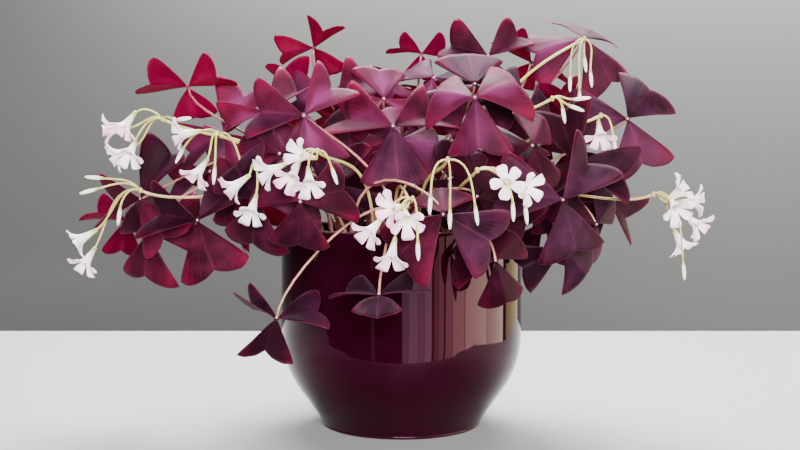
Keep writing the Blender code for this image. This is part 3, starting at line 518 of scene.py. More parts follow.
def thickened(points, triangles, thickness):
    """A closed solid from a sheet, split into triangles alike on both faces."""
    normals = [Vector() for _ in points]
    for a, b, c in triangles:
        normal = (points[b] - points[a]).cross(points[c] - points[a]).normalized()
        for corner in (a, b, c):
            normals[corner] += normal
    half = thickness / 2
    upper = [point + normal.normalized() * half for point, normal in zip(points, normals)]
    lower = [point - normal.normalized() * half for point, normal in zip(points, normals)]
    count = len(points)
    faces = list(triangles) + [(c + count, b + count, a + count) for a, b, c in triangles]
    edges = {edge for a, b, c in triangles for edge in ((a, b), (b, c), (c, a))}
    rim = [(b, a, a + count, b + count) for a, b in sorted(edges) if (b, a) not in edges]
    return upper + lower, faces + halves(rim)


def prism(route, radius):
    """The points and faces of a rough tube along a route, for testing what it would touch."""
    points = []
    for index, point in enumerate(route):
        ahead = route[min(index + 1, len(route) - 1)] - route[max(index - 1, 0)]
        level = ahead.orthogonal().normalized()
        points += circle(point, level, ahead.normalized().cross(level), radius, TEST_SIDES)
    return points, halves(bands(len(route), TEST_SIDES))


def stalk_corners(root, tip, arrive, rise, bow):
    """The four corners that steer a stalk: upright out of the soil, and along arrive into its tip."""
    reach = (tip - root).length
    return (root, root + Vector((0, 0, rise * reach)) + bow, tip - arrive * (STALK_ARRIVES * reach), tip)


def route_of(corners, steps):
    """Points along a stalk."""
    return [bezier(corners, step / steps) for step in range(steps + 1)]


def leaf_arrival(leaf):
    """The direction in which a stalk meets its hub: from below, or from above where the leaf hangs low."""
    look = facing(leaf)
    hanging = clamped((POT_HEIGHT + HANGS_BELOW - leaf.hub[2]) / HANGS_FULLY, 0.0, 1.0)
    return (look * (1.0 - HANGING_LOOK * hanging) + Vector((0, 0, -HANGING_DOWN * hanging))).normalized()


def box_of(points):
    """The lowest and the highest corner of the box round points."""
    axes = range(3)
    low = [min(point[axis] for point in points) for axis in axes]
    high = [max(point[axis] for point in points) for axis in axes]
    return low, high


class Bed:
    """What stands in the pot so far, and the free spots in its soil."""

    def __init__(self):
        self.things = []
        self.rooms = [0] * SPOT_COUNT
        self.add(*pot_test_shape(), "pot")

    def add(self, points, faces, owner):
        """Stand something in the bed."""
        self.things.append((BVHTree.FromPolygons(points, faces), *box_of(points), owner))

    def touches(self, points, faces, ignore=""):
        """Whether a shape would cut into anything that doesn't belong to the owner named."""
        low, high = box_of(points)
        tree = None
        for other, other_low, other_high, owner in self.things:
            if owner == ignore:
                continue
            if any(low[axis] > other_high[axis] or high[axis] < other_low[axis] for axis in range(3)):
                continue
            tree = tree or BVHTree.FromPolygons(points, faces)
            if tree.overlap(other):
                return True
        return False

    def nearest_spots(self, target, room):
        """Spots in the soil with room, nearest first."""
        free = [index for index in range(SPOT_COUNT) if self.rooms[index] < room]
        return sorted(free, key=lambda index: (spot_place(index).xy - target.xy).length)


def sideways(level):
    """A level direction turned a quarter to the left."""
    return Vector((-level.y, level.x, 0.0))


def spot_place(index):
    """A spot's place on the soil, on a spiral that fills it evenly."""
    radius = SPOT_FIELD_RADIUS * math.sqrt((index + 0.5) / SPOT_COUNT)
    angle = index * GOLDEN_ANGLE
    return turned(radius, angle, soil_height(radius))


def soil_height(radius):
    """The height of the soil, which is a low dome."""
    share = min(radius / (POT_RADIUS - WALL), 1.0)
    return SOIL_CROWN_HEIGHT - (SOIL_CROWN_HEIGHT - SOIL_EDGE_HEIGHT) * share * share


def outer_profile():
    """The pot's outer side from below its lip to the flat of its foot, as radius and height."""
    foot = [(FOOT_RADIUS + out, height) for out, height in FOOT_EDGE]
    return [(POT_RADIUS, POT_HEIGHT - LIP_ROUND), (POT_RADIUS, SHOULDER_HEIGHT), *TAPER, *foot]


def inner_radius(height):
    """The radius inside the pot at a height, one wall in from the outer side."""
    side = outer_profile()[:-1]
    for (r0, z0), (r1, z1) in zip(side, side[1:]):
        if z1 <= height <= z0:
            return r0 + (r1 - r0) * (z0 - height) / (z0 - z1) - WALL
    return side[0][0] - WALL


def pot_test_shape():
    """The pot's upper wall, a little larger than it is, for testing what would touch it."""
    profile = [
        (POT_RADIUS - WALL - POT_ROOM, SOIL_EDGE_HEIGHT),
        (POT_RADIUS - WALL - POT_ROOM, POT_HEIGHT + POT_ROOM),
        (POT_RADIUS + POT_ROOM, POT_HEIGHT + POT_ROOM),
        (POT_RADIUS + POT_ROOM, SHOULDER_HEIGHT),
        (POT_RADIUS - POT_TEST_INSET, POT_TEST_HEIGHT),
    ]
    return turned_rings(profile, POT_SIDES), halves(bands(len(profile), POT_SIDES))


def along_sight(place, amount):
    """A place moved along the line of sight from the front, which keeps it where the front view has it."""
    place = Vector(place)
    return place + (EYE - place).normalized() * amount


def shaken(leaf, draw, share):
    """The leaf moved, mostly along the line of sight, and turned a little, more so with each attempt."""
    spread = FIRST_SHARE + (1.0 - FIRST_SHARE) * share
    hub = along_sight(leaf.hub, swing(draw, LEAF_SIGHT_ROAM) * spread)
    aside = Vector((swing(draw, leaf.roam), 0.0, swing(draw, leaf.roam)))
    return replace(
        leaf,
        hub=tuple(hub + aside * spread),
        azimuth=leaf.azimuth + swing(draw, LEAF_TURN_ROAM) * spread,
        elevation=leaf.elevation + swing(draw, LEAF_LIFT_ROAM) * spread,
        roll=leaf.roll + swing(draw, LEAF_TURN_ROAM) * spread,
        length=leaf.length * (1.0 - LEAF_SHRINK * share),
        droop=leaf.droop + draw.uniform(*LEAF_DROOP_ROAM) * spread,
    )


def place_leaf(leaf, bed):
    """Find a clear place for a leaf near its own: the leaf, its spot and its stalk's corners, or None."""
    draw = random.Random(f"{leaf.name} {SEED}")
    for attempt in range(ATTEMPTS):
        trial = shaken(leaf, draw, attempt / ATTEMPTS) if attempt else leaf
        blade = thickened(*leaf_sheet(trial), BLADE_ROOM)
        if lies_on_soil(blade[0]) or bed.touches(*blade):
            continue
        tip = Vector(trial.hub)
        low = tip.z < POT_HEIGHT + LOW_LEAF
        level = Vector((tip.x, tip.y, 0.0))
        aside = sideways(level).normalized()
        for spot in bed.nearest_spots(level * STEMS_LEAN_IN, LEAVES_PER_CLUMP)[:SPOTS_TRIED]:
            foot = spot_place(spot)
            lean = (level - foot * ROOT_LEANS_FROM).normalized()
            beside = sideways(lean) * (ROOTS_APART * (bed.rooms[spot] - 1))
            root = foot + lean * ROOT_OFFSET + beside
            root.z = foot.z
            for index in range(STALK_TRIES):
                rise = draw.uniform(*(LOW_STALK_RISE if low else STALK_RISE))
                bow = aside * (swing(draw, STALK_BOW) if index else 0.0)
                corners = stalk_corners(root, tip, leaf_arrival(trial), rise, bow)
                if stalk_fits(corners, f"clump {spot}", bed):
                    stalk_room = prism(route_of(corners, STALK_STEPS), STALK_ROOT_RADIUS + STALK_ROOM)
                    bed.add(*blade, "blade")
                    bed.add(*stalk_room, f"clump {spot}")
                    bed.rooms[spot] += 1
                    return trial, spot, corners
    return None


def lies_on_soil(points):
    """Whether a blade would touch the soil."""
    inside = [point for point in points if point.xy.length < POT_RADIUS]
    return any(point.z < soil_height(point.xy.length) + BLADE_ABOVE_SOIL for point in inside)


def grazes_soil(route):
    """Whether a stalk leans over so early that it would touch the soil or a neighbour's crown."""
    first = route[1] - route[0]
    return first.z < first.xy.length * LEAST_RISE


def stalk_fits(corners, owner, bed):
    """Whether a leaf's stalk clears all other things, and its own clump's stalks above the soil."""
    route = route_of(corners, STALK_STEPS)
    radius = STALK_ROOT_RADIUS + STALK_ROOM
    if grazes_soil(route) or bed.touches(*prism(route, radius), owner):
        return False
    start = route[0] + (route[1] - route[0]).normalized() * RAISED_START
    return not bed.touches(*prism([start] + route[1:], radius))


def flower_base(flower):
    """The point where a flower or a bud meets its stalk."""
    length = FLOWER_LENGTH if flower.is_open else BUD_LENGTH / 2
    return Vector(flower.place) - facing(flower) * length


def pedicel_corners(hub, flower):
    """The four corners that steer a flower's thin stalk: up and out of the hub, then into the flower."""
    look = facing(flower)
    base = flower_base(flower)
    reach = (base - hub).length
    out = ((base - hub).normalized() + Vector((0, 0, PEDICEL_UPWARD))).normalized()
    sunk = STALK_INTO_FLOWER if flower.is_open else STALK_INTO_BUD
    rise = hub + out * (PEDICEL_RISE * reach)
    return hub + out * PEDICEL_START, rise, base - look * (PEDICEL_ARRIVES * reach), base + look * sunk


def flower_mesh(flower):
    """Points and faces of a funnel with five spread petals, as a thin closed shell."""
    look = facing(flower)
    level = look.orthogonal().normalized()
    upright = look.cross(level)
    base = flower_base(flower)

    def ring(radius, height, angles):
        """Points round the funnel's axis."""
        middle = base + look * height
        return [around(middle, level, upright, angle, radius) for angle in angles]

    step = 2 * math.pi / PETALS
    notches = [index * step for index in range(PETALS)]
    tips = []
    for angle in notches:
        tips += [angle + step * (1 - PETAL_SPREAD) / 2, angle + step * (1 + PETAL_SPREAD) / 2]
    points = [base - look * FUNNEL_FOOT] + ring(THROAT_RADIUS, THROAT_LENGTH, notches)
    points += ring(FLOWER_RADIUS, FLOWER_LENGTH - MOUTH_BACK, tips)
    points += [base + look * FUNNEL_DEPTH]
    points += ring(THROAT_RADIUS - PETAL_THICKNESS, THROAT_LENGTH + INNER_STEP, notches)
    points += ring(FLOWER_RADIUS - INNER_STEP, FLOWER_LENGTH - MOUTH_BACK + PETAL_THICKNESS, tips)
    inner = 1 + 3 * PETALS
    faces = []
    for index in range(PETALS):
        after = (index + 1) % PETALS
        notch, next_notch = 1 + index, 1 + after
        left, right = 1 + PETALS + 2 * index, 2 + PETALS + 2 * index
        shell = [(0, next_notch, notch), (notch, next_notch, right), (notch, right, left)]
        faces += shell
        faces += [(c + inner, b + inner, a + inner) for a, b, c in shell]
        rim = ((notch, left), (left, right), (right, next_notch))
        faces += halves([(a, b, b + inner, a + inner) for a, b in rim])
    return points, faces


def bud_route(flower):
    """The two ends of a bud."""
    look = facing(flower)
    base = flower_base(flower)
    return [base - look * BUD_SUNK, base + look * (BUD_LENGTH - BUD_SUNK)]


def spray_shapes(spray):
    """What a spray holds above its scape, as shapes for testing what they would touch."""
    hub = Vector(spray.hub)
    shapes = []
    for flower in spray.flowers:
        thin = route_of(pedicel_corners(hub, flower), PEDICEL_STEPS if flower.is_open else BUD_STALK_STEPS)
        shapes.append(prism(thin, PEDICEL_RADIUS + STALK_ROOM))
        closed = prism(bud_route(flower), BUD_RADIUS + BUD_ROOM)
        shapes.append(flower_mesh(flower) if flower.is_open else closed)
    return shapes


def shifted(spray, draw, share):
    """The spray moved a little, mostly along the line of sight."""
    amount = swing(draw, SPRAY_SIGHT_ROAM) * share
    rightward, upward = [swing(draw, SPRAY_ROAM) for _ in range(2)]
    aside = Vector((rightward, 0.0, upward)) * share
    flowers = []
    for flower in spray.flowers:
        flowers.append(replace(flower, place=tuple(along_sight(flower.place, amount) + aside)))
    return replace(spray, hub=tuple(along_sight(spray.hub, amount) + aside), flowers=tuple(flowers))


def place_spray(spray, bed):
    """Find a clear place for a spray near its own: the spray, its spot and its scape's corners, or None."""
    draw = random.Random(spray.name)
    for attempt in range(ATTEMPTS):
        trial = shifted(spray, draw, attempt / ATTEMPTS) if attempt else spray
        shapes = spray_shapes(trial)
        if any(bed.touches(*shape) for shape in shapes):
            continue
        hub = Vector(trial.hub)
        level = Vector((hub.x, hub.y, 0.0))
        aside = sideways(level).normalized()
        arrive = (level.normalized() + Vector((0.0, 0.0, SCAPE_ARRIVES_UP))).normalized()
        for spot in bed.nearest_spots(level * STEMS_LEAN_IN, 1)[:SPOTS_TRIED]:
            for index in range(STALK_TRIES):
                bow = aside * (swing(draw, SCAPE_BOW) if index else 0.0)
                corners = stalk_corners(spot_place(spot), hub, arrive, draw.uniform(*SCAPE_RISE), bow)
                route = route_of(corners, SCAPE_STEPS)
                shape = prism(route, SCAPE_RADIUS + STALK_ROOM)
                if grazes_soil(route) or bed.touches(*shape):
                    continue
                for part in shapes + [shape]:
                    bed.add(*part, f"spray {spray.name}")
                bed.rooms[spot] = LEAVES_PER_CLUMP
                return trial, spot, corners
    return None


def deep_leaves():
    """The leaves that fill the front between the stalks, tinted darker later as painted shade."""
    draw = random.Random("deep leaves")
    leaves = []
    for index in range(DEEP_COUNT):
        share = (index + 0.5) / DEEP_COUNT * 2.0 - 1.0
        shifts = [share * DEEP_REACH[0]] + [swing(draw, reach) for reach in DEEP_REACH[1:]]
        leaves.append(Leaf(
            f"deep_{index + 1}",
            tuple(middle + shift for middle, shift in zip(DEEP_MIDDLE, shifts)),
            draw.uniform(*DEEP_AZIMUTH),
            draw.uniform(*DEEP_ELEVATION),
            draw.uniform(*ANY_ROLL),
            draw.uniform(*DEEP_LENGTH),
            folds=draw.choice((OPEN, CUPPED, ROOFED)),
            roam=DEEP_ROAM,
        ))
    return leaves


def back_leaves():
    """The leaves that the front hides, in rings round the back of the plant."""
    draw = random.Random("back leaves")
    leaves = []
    for ring, (height, reach, tilt, count) in enumerate(BACK_RINGS):
        for index in range(count):
            share = (index + 0.5) / count
            azimuth = BACK_FROM + (BACK_TO - BACK_FROM) * share + swing(draw, BACK_SWAY)
            out = direction(azimuth, 0.0)
            place = out * (reach + swing(draw, BACK_SCATTER))
            up = height + swing(draw, BACK_SCATTER)
            leaves.append(Leaf(
                f"back_{ring + 1}_{index + 1}",
                (place.x, place.y, up),
                azimuth + draw.uniform(*BACK_TURN),
                tilt + draw.uniform(*BACK_LIFT),
                draw.uniform(*ANY_ROLL),
                draw.uniform(*BACK_LENGTH),
            ))
    return leaves


def arrange():
    """Place every spray and then every leaf: the sprays, and the leaves by the spot they grow from."""
    bed = Bed()
    sprays = [placed for placed in (place_spray(spray, bed) for spray in SPRAYS) if placed]
    clumps = {}
    for leaf in deep_leaves() + list(LEAVES) + back_leaves():
        placed = place_leaf(leaf, bed)
        if placed:
            clumps.setdefault(placed[1], []).append(placed)
    return sprays, clumps


# The fine leaf: its grid, how far it ripples, leans, curls and flutes, its hub and its stalk
BLADE_ROWS = 12
BLADE_COLUMNS = 7
FINE_THICKNESS = 0.4
BASE_FULLNESS = 0.5
ANY_PHASE = (0.0, 6.28)
RIPPLE = 1.3
RIPPLE_ALONG = 5.0
RIPPLE_ACROSS = 3.5
RIPPLE_POWER = 1.5
LEAN = 1.5
TIP_CURL = 2.3
TIP_CURL_SHARE = (0.3, 1.0)
TIP_CURL_POWER = 3
FLUTE = 0.25
FLUTE_TURNS = 16.0
HUB_DISC = (1.7, 0.35)
HUB_BEAD = (0.8, 0.7)
HUB_BEAD_UP = 0.5
SMOOTH_BEAD_SEGMENTS = 10
FINE_STALK_STEPS = 14
FINE_STALK_SIDES = 8
FINE_STALK_SHARE = 0.85
STALK_KNUCKLE = 1.25
KNUCKLE_FROM = 0.93
KNUCKLE_LENGTH = 0.07
FINE_CROWN = (0.68 * CROWN_RADIUS, 1.7)

# A leaf's tint: its shade from dark to pale and its warmth from violet to red, by where it grows and by draw.
# # The shade by height, side and depth in the foliage is painted light and shade; the drawn part is the
# leaf's own tone
PAINTED_SHADE_HEIGHT = 130.0
PAINTED_LIGHT_HEIGHT = 235.0
LEAST_RISE_SHARE = -0.35
FOLIAGE_HALF_WIDTH = 180.0
PAINTED_LIGHT_BY_HEIGHT = 0.60
PAINTED_LIGHT_BY_SIDE = 0.18
PAINTED_LIGHT_BY_BOTH = 0.16
SHADE_SPREAD = 0.42
SHADE_LOSS = 0.1
INNER_PAINTED_SHADE = 0.2
MEAN_WARMTH = 0.34
WARMTH_BY_SIDE = 0.3
WARMTH_SPREAD = (-0.35, 0.5)
INNER_WARMTH = 0.4
LEAFLET_SHADE_SPREAD = 0.22
LEAFLET_WARMTH_SPREAD = 0.35

# The tints of stalks: how deep their colour is, and 1 where a ruddy foot may show
LEAF_STALK_RUDDY = 0.5
CROWN_TINT = (0.1, 0.5)
SCAPE_TINT = (0.4, 1.0)
SPRAY_HUB_TINT = (0.7, 0.2)
PEDICEL_RUDDY = 0.1

# The fine flower: angles are in degrees, but a petal's twist is in radians
PETAL_ROWS = 11
PETAL_COLUMNS = 4
FINE_PETAL = 0.28
TUBE_ROOT = 0.95
TUBE_POWER = 1.25
LOBES_FROM = 0.58
LOBES_PART = 4.0
LOBE_HALF_ANGLE = 32.5
LOBE_TAPER = 9.0
LOBE_TIP = 1.7
LOBE_OPENING = (0.7, 0.3)
LOBE_ROUND = 0.22
LOBE_ROUND_POWER = 3
LOBE_DIP = 0.05
LOBE_RISE_LOST = 0.3
LOBE_CUP = 0.9
PETAL_HALF_ANGLE = 36.0
PETAL_LAP = 1.12
PETAL_TURN_OUT = (-0.08, 0.14)
PETAL_TWIST = (-0.12, 0.12)
PETAL_FALL = (0.0, 1.6)

# Sepals, as rings of heights and radii whose last one has a point for each sepal
SEPAL_LENGTH = 4.2
SEPAL_WIDTH = 1.9
SEPAL_SIDES = 20
SEPAL_FOOT = ((-0.4, 0.75), (0.6, 1.25))
SEPAL_MIDDLE = (0.55, 1.45)
SEPAL_MOUTH = 1.5
SEPAL_FLUTE = 0.10
SEPAL_POINT = 0.9
BUD_SEPALS = (0.5, 0.68)
BUD_SEPALS_UP = 0.6

# Stamens, buds and the stalks of a spray
STAMEN_COUNT = 5
STAMEN_SPREAD = 0.8
STAMEN_REACH = (0.52, 0.62)
STAMEN_BEAD = (0.5, 1.6)
COARSE_BEAD_SEGMENTS = 6
FINE_BUD_RADIUS = BUD_RADIUS * 0.82
FINE_SCAPE_STEPS = 20
FINE_SCAPE_TAPER = (1.1, 0.15)
FINE_PEDICEL_STEPS = 10
FINE_PEDICEL_SIDES = 6
PEDICEL_SWELL = 0.2
FINE_SPRAY_HUB = (HUB_BEAD_RADIUS * 0.8, 1.2)

# The fine pot. The side's curve is measured on the photograph's outline, as radius and height
SIDE_CURVE = (
    (80.0, 66.0), (79.9, 59.0), (79.0, 50.5), (75.9, 39.0),
    (70.4, 28.0), (62.3, 16.5), (56.4, 8.2), (52.7, 1.8),
)
SIDE_STEPS = 8
STRAIGHT_HEIGHTS = (110.0, 90.0, 74.0)
INNER_HEIGHT = 90.0
LIP_STEPS = 16
FLOOR_INSET = 2.0
FINE_POT_SIDES = 144

# The fine soil
SOIL_RINGS = 26
SOIL_TURNS = 120
FINE_SOIL_RADIUS = POT_RADIUS - WALL - 0.4
SOIL_RELIEF = 1.3
SOIL_WAVES = 0.12
SOIL_WAVE_STEPS = (1.0, 2.0, 5)
SOIL_BED_SHARE = 0.8
SOIL_BED_HEIGHT = 40.0
CRUMBS = 420
CRUMB_SIZE = (0.7, 2.3)
CRUMB_INSET = 2.5
CRUMB_RAISED = 0.3
CRUMB_ROUGHNESS = 0.35
CRUMB_LOOKS = (0, 0, 1)


def linked(name, data):
    """An object in the scene, made of a mesh, a lamp or a camera."""
    made = bpy.data.objects.new(name, data)
    bpy.context.scene.collection.objects.link(made)
    return made


def new_mesh(name, points, faces, materials, slot, node, indices=None, uvs=None, smooth=True):
    """A piece of the plant from points in millimetres: it rides on the root and stands for a CAD node."""
    mesh = bpy.data.meshes.new(name)
    mesh.from_pydata([tuple(point * MM) for point in points], [], faces)
    for material in materials:
        mesh.materials.append(material)
    if indices:
        mesh.polygons.foreach_set("material_index", indices)
    for layer, values in (uvs or {}).items():
        flat = [number for face in faces for corner in face for number in values[corner]]
        mesh.uv_layers.new(name=layer).data.foreach_set("uv", flat)
    mesh.polygons.foreach_set("use_smooth", [smooth] * len(mesh.polygons))
    mesh.update()
    piece = linked(name, mesh)
    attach(piece, "root")
    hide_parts(node)


class Heap:
    """Points, faces, material indices and UVs of the shapes that make one piece."""

    def __init__(self):
        self.points = []
        self.faces = []
        self.indices = []
        self.shape = []
        self.tint = []

    def add(self, points, faces, index=0, shape=None, tint=(0.5, 0.5)):
        """Add a shape, with one material index for all its faces or one for each."""
        start = len(self.points)
        self.points += points
        self.faces += [tuple(corner + start for corner in face) for face in faces]
        self.indices += [index] * len(faces) if isinstance(index, int) else index
        self.shape += shape or [(0.5, 0.5)] * len(points)
        self.tint += [tint] * len(points)

    def piece(self, name, materials, slot, node, smooth=True):
        """Make the piece."""
        uvs = {"shape": self.shape, "tint": self.tint}
        new_mesh(name, self.points, self.faces, materials, slot, node, self.indices, uvs, smooth)


def capped(rings, sides):
    """The faces of a tube of rings: its bands, and a flat cap at each end."""
    last = (rings - 1) * sides
    return bands(rings, sides) + [tuple(reversed(range(sides))), tuple(range(last, last + sides))]


def tube(corners, steps, radius_at, sides):
    """A smooth closed tube along a curve."""
    route = route_of(corners, steps)
    points = []
    level = None
    for index, point in enumerate(route):
        ahead = (route[min(index + 1, steps)] - route[max(index - 1, 0)]).normalized()
        level = ahead.orthogonal() if level is None else level - ahead * level.dot(ahead)
        level.normalize()
        upright = ahead.cross(level)
        points += circle(point, level, upright, radius_at(index / steps), sides)
    return points, capped(steps + 1, sides)


def bead(place, radius, stretch=None, segments=8):
    """A small ball, stretched along an axis where one is given."""
    work = bmesh.new()
    bmesh.ops.create_uvsphere(work, u_segments=segments, v_segments=segments - 2, radius=radius)
    if stretch:
        axis, length = stretch
        turn = axis.to_track_quat("Z", "Y")
        for vert in work.verts:
            vert.co = turn @ Vector((vert.co.x, vert.co.y, vert.co.z * length))
    points = [vert.co + place for vert in work.verts]
    faces = [tuple(vert.index for vert in face.verts) for face in work.faces]
    work.free()
    return points, faces


def plate(grid, thickness):
    """A thin closed plate from a grid of points: its points, its faces, and the first of its underside."""
    rows, columns = len(grid), len(grid[0])
    upper, lower = [], []
    for row in range(rows):
        for column in range(columns):
            along = grid[min(row + 1, rows - 1)][column] - grid[max(row - 1, 0)][column]
            across = grid[row][min(column + 1, columns - 1)] - grid[row][max(column - 1, 0)]
            normal = along.cross(across).normalized() * (thickness / 2)
            upper.append(grid[row][column] + normal)
            lower.append(grid[row][column] - normal)
    count = rows * columns
    faces, under = [], []
    for row in range(rows - 1):
        for column in range(columns - 1):
            a = row * columns + column
            faces.append((a, a + columns, a + columns + 1, a + 1))
            under.append((a + count, a + 1 + count, a + columns + 1 + count, a + columns + count))
    edge = list(range(columns))
    edge += [row * columns + columns - 1 for row in range(1, rows)]
    edge += [(rows - 1) * columns + column for column in range(columns - 2, -1, -1)]
    edge += [row * columns for row in range(rows - 2, 0, -1)]
    rim = [(a, b, b + count, a + count) for a, b in zip(edge, edge[1:] + edge[:1])]
    return upper + lower, faces + rim + under, len(faces) + len(rim)


def sheet(rows, columns, thickness, point_at):
    """A thin plate through the points that point_at gives for u and v, and each point's place on it.

    u runs from edge to edge, from -1 to 1, and v from base to tip, from 0 to 1.
    """
    steps = range(-columns, columns + 1)
    grid = [[point_at(step / columns, row / rows) for step in steps] for row in range(rows + 1)]
    places = [((step / columns + 1.0) / 2.0, row / rows) for row in range(rows + 1) for step in steps]
    return *plate(grid, thickness), places * 2


def fine_leaflet(hub, out, side, look, bend, draw):
    """What gives the points of a leaflet that ripples, leans and curls in a way of its own."""
    phase = draw.uniform(*ANY_PHASE)
    lean = swing(draw, 1.0)
    curl = draw.uniform(*TIP_CURL_SHARE) * TIP_CURL

    def point_at(u, v):
        """The leaflet's point at u and v."""
        x, y, z = leaflet_point(u, v, bend)
        y += u * HUB_RADIUS * BASE_FULLNESS * (1.0 - v)
        wave = math.sin(phase + RIPPLE_ALONG * v + RIPPLE_ACROSS * u) * abs(u) ** RIPPLE_POWER * v
        z += RIPPLE * wave - curl * v * v * abs(u) ** TIP_CURL_POWER + lean * u * v * v * LEAN
        z += FLUTE * math.sin(abs(u) * FLUTE_TURNS) * v
        return hub + out * (LEAFLET_ROOT + x) + side * y + look * z

    return point_at


def stalk_radius(share):
    """A leaf stalk's radius: it tapers, and swells a little under the hub."""
    taper = STALK_ROOT_RADIUS + (STALK_TIP_RADIUS - STALK_ROOT_RADIUS) * share
    knuckle = max(0.0, (share - KNUCKLE_FROM) / KNUCKLE_LENGTH)
    return FINE_STALK_SHARE * taper * (1.0 + (STALK_KNUCKLE - 1.0) * knuckle)


def scape_radius(share):
    """A scape's radius, which tapers upwards."""
    return SCAPE_RADIUS * (FINE_SCAPE_TAPER[0] - FINE_SCAPE_TAPER[1] * share)


def pedicel_radius(share):
    """The radius of a flower's thin stalk, which swells a little towards the flower."""
    return PEDICEL_RADIUS * (1.0 + PEDICEL_SWELL * share)


def leaf_tint_and_painted_shade(leaf, draw):
    """A leaf's shade and warmth: paler high up, paler and redder on the left, darker and redder inside.

    The paler and darker shade by height, side and depth is painted light and shade; a drawn part is the
    leaf's own tone.
    """
    rise = clamped((leaf.hub[2] - PAINTED_SHADE_HEIGHT) / (PAINTED_LIGHT_HEIGHT - PAINTED_SHADE_HEIGHT), LEAST_RISE_SHARE, 1.0)
    inner = leaf.name.startswith("deep")
    side = leaf.hub[0] / FOLIAGE_HALF_WIDTH
    shade = PAINTED_LIGHT_BY_HEIGHT * rise - side * (PAINTED_LIGHT_BY_SIDE + PAINTED_LIGHT_BY_BOTH * rise)
    shade += SHADE_SPREAD * draw.random()
    shade -= INNER_PAINTED_SHADE if inner else SHADE_LOSS
    warmth = MEAN_WARMTH - WARMTH_BY_SIDE * side + draw.uniform(*WARMTH_SPREAD)
    return shade, warmth + (INNER_WARMTH if inner else 0.0)


def build_clump(number, spot, leaves, looks):
    """A clump's leaves: fine blades and fine stalks, which stand for the clump's solid."""
    node = f"leaves_{number:02d}"
    blades, stalks = Heap(), Heap()
    for leaf, _, corners in leaves:
        look = facing(leaf)
        hub = Vector(leaf.hub)
        draw = random.Random(leaf.name + " looks")
        shade, warmth = leaf_tint_and_painted_shade(leaf, draw)
        for out, across, bend in leaflets_of(leaf):
            point_at = fine_leaflet(hub, out, across, look, bend, draw)
            points, faces, first_under, places = sheet(BLADE_ROWS, BLADE_COLUMNS, FINE_THICKNESS, point_at)
            own_shade = shade + swing(draw, LEAFLET_SHADE_SPREAD)
            own_warmth = warmth + swing(draw, LEAFLET_WARMTH_SPREAD)
            tint = (clamped(own_shade, 0.0, 1.0), clamped(own_warmth, 0.0, 1.0))
            blades.add(points, faces, [0] * first_under + [1] * (len(faces) - first_under), places, tint)
        stalk = tube(corners, FINE_STALK_STEPS, stalk_radius, FINE_STALK_SIDES)
        stalks.add(*stalk, tint=(shade, LEAF_STALK_RUDDY))
        disc = bead(hub, HUB_DISC[0], (look, HUB_DISC[1]), SMOOTH_BEAD_SEGMENTS)
        blades.add(*disc, tint=(shade, warmth))
        stalks.add(*bead(hub + look * HUB_BEAD_UP, HUB_BEAD[0], (look, HUB_BEAD[1])), index=1)
    stalks.add(*bead(spot_place(spot), FINE_CROWN[0], (UP, FINE_CROWN[1])), tint=CROWN_TINT)
    blades.piece(f"clump_{number:02d}_blades", [looks["leaf_upper"], looks["leaf_under"]], "leaf", node)
    stalks.piece(f"clump_{number:02d}_stalks", [looks["leaf_stalk"], looks["leaf_hub"]], "leaf", node)


def petal_reach(v):
    """The radius of a funnel flower at v along it: a slim tube that opens and then flares."""
    if v < LOBES_FROM:
        return TUBE_ROOT + (THROAT_RADIUS - TUBE_ROOT) * (v / LOBES_FROM) ** TUBE_POWER
    share = (v - LOBES_FROM) / (1.0 - LOBES_FROM)
    opening = LOBE_OPENING[0] * share + LOBE_OPENING[1] * share * share
    return THROAT_RADIUS + (FLOWER_RADIUS + LOBE_TIP - THROAT_RADIUS) * opening


def fine_petal(flower, middle, draw):
    """What gives the points of a petal: a part of the tube that ends in a free, wedge-shaped lobe."""
    look = facing(flower)
    level = look.orthogonal().normalized()
    upright = look.cross(level)
    base = flower_base(flower)
    turn_out = draw.uniform(*PETAL_TURN_OUT)
    twist = draw.uniform(*PETAL_TWIST)
    fall = draw.uniform(*PETAL_FALL)

    def point_at(u, v):
        """The petal's point at u and v."""
        free = max(0.0, (v - LOBES_FROM) / (1.0 - LOBES_FROM))
        joined = max(0.0, 1.0 - free * LOBES_PART)
        lobe_half = (LOBE_HALF_ANGLE - LOBE_TAPER * free) * (1.0 - joined)
        half = math.radians(PETAL_HALF_ANGLE * PETAL_LAP * joined + lobe_half)
        rounding = LOBE_ROUND * abs(u) ** LOBE_ROUND_POWER + LOBE_DIP * (1.0 - abs(u)) ** 2
        radius = petal_reach(v) * (1.0 + free * turn_out) * (1.0 - free ** 3 * rounding)
        rise = v if v < LOBES_FROM else LOBES_FROM + (v - LOBES_FROM) * (1.0 - LOBE_RISE_LOST * free)
        height = FLOWER_LENGTH * rise + free * (LOBE_CUP * u * u - fall * free * free)
        return around(base + look * height, level, upright, middle + u * half + twist * free, radius)

    return point_at


def sepals(base, look, length, width):
    """Five narrow green sepals that hold a flower's or a bud's base, as one fluted cup."""
    level = look.orthogonal().normalized()
    upright = look.cross(level)
    points = []
    rings = (*SEPAL_FOOT, (length * SEPAL_MIDDLE[0], SEPAL_MIDDLE[1]), (length, SEPAL_MOUTH))
    for height, radius in rings:
        for side in range(SEPAL_SIDES):
            angle = 2 * math.pi * side / SEPAL_SIDES
            lobe = math.cos(angle * PETALS)
            reach = radius * width / SEPAL_WIDTH * (1.0 + SEPAL_FLUTE * lobe)
            up = height + (SEPAL_POINT * lobe if height == length else 0.0)
            points.append(around(base + look * up, level, upright, angle, reach))
    return points, capped(len(rings), SEPAL_SIDES)


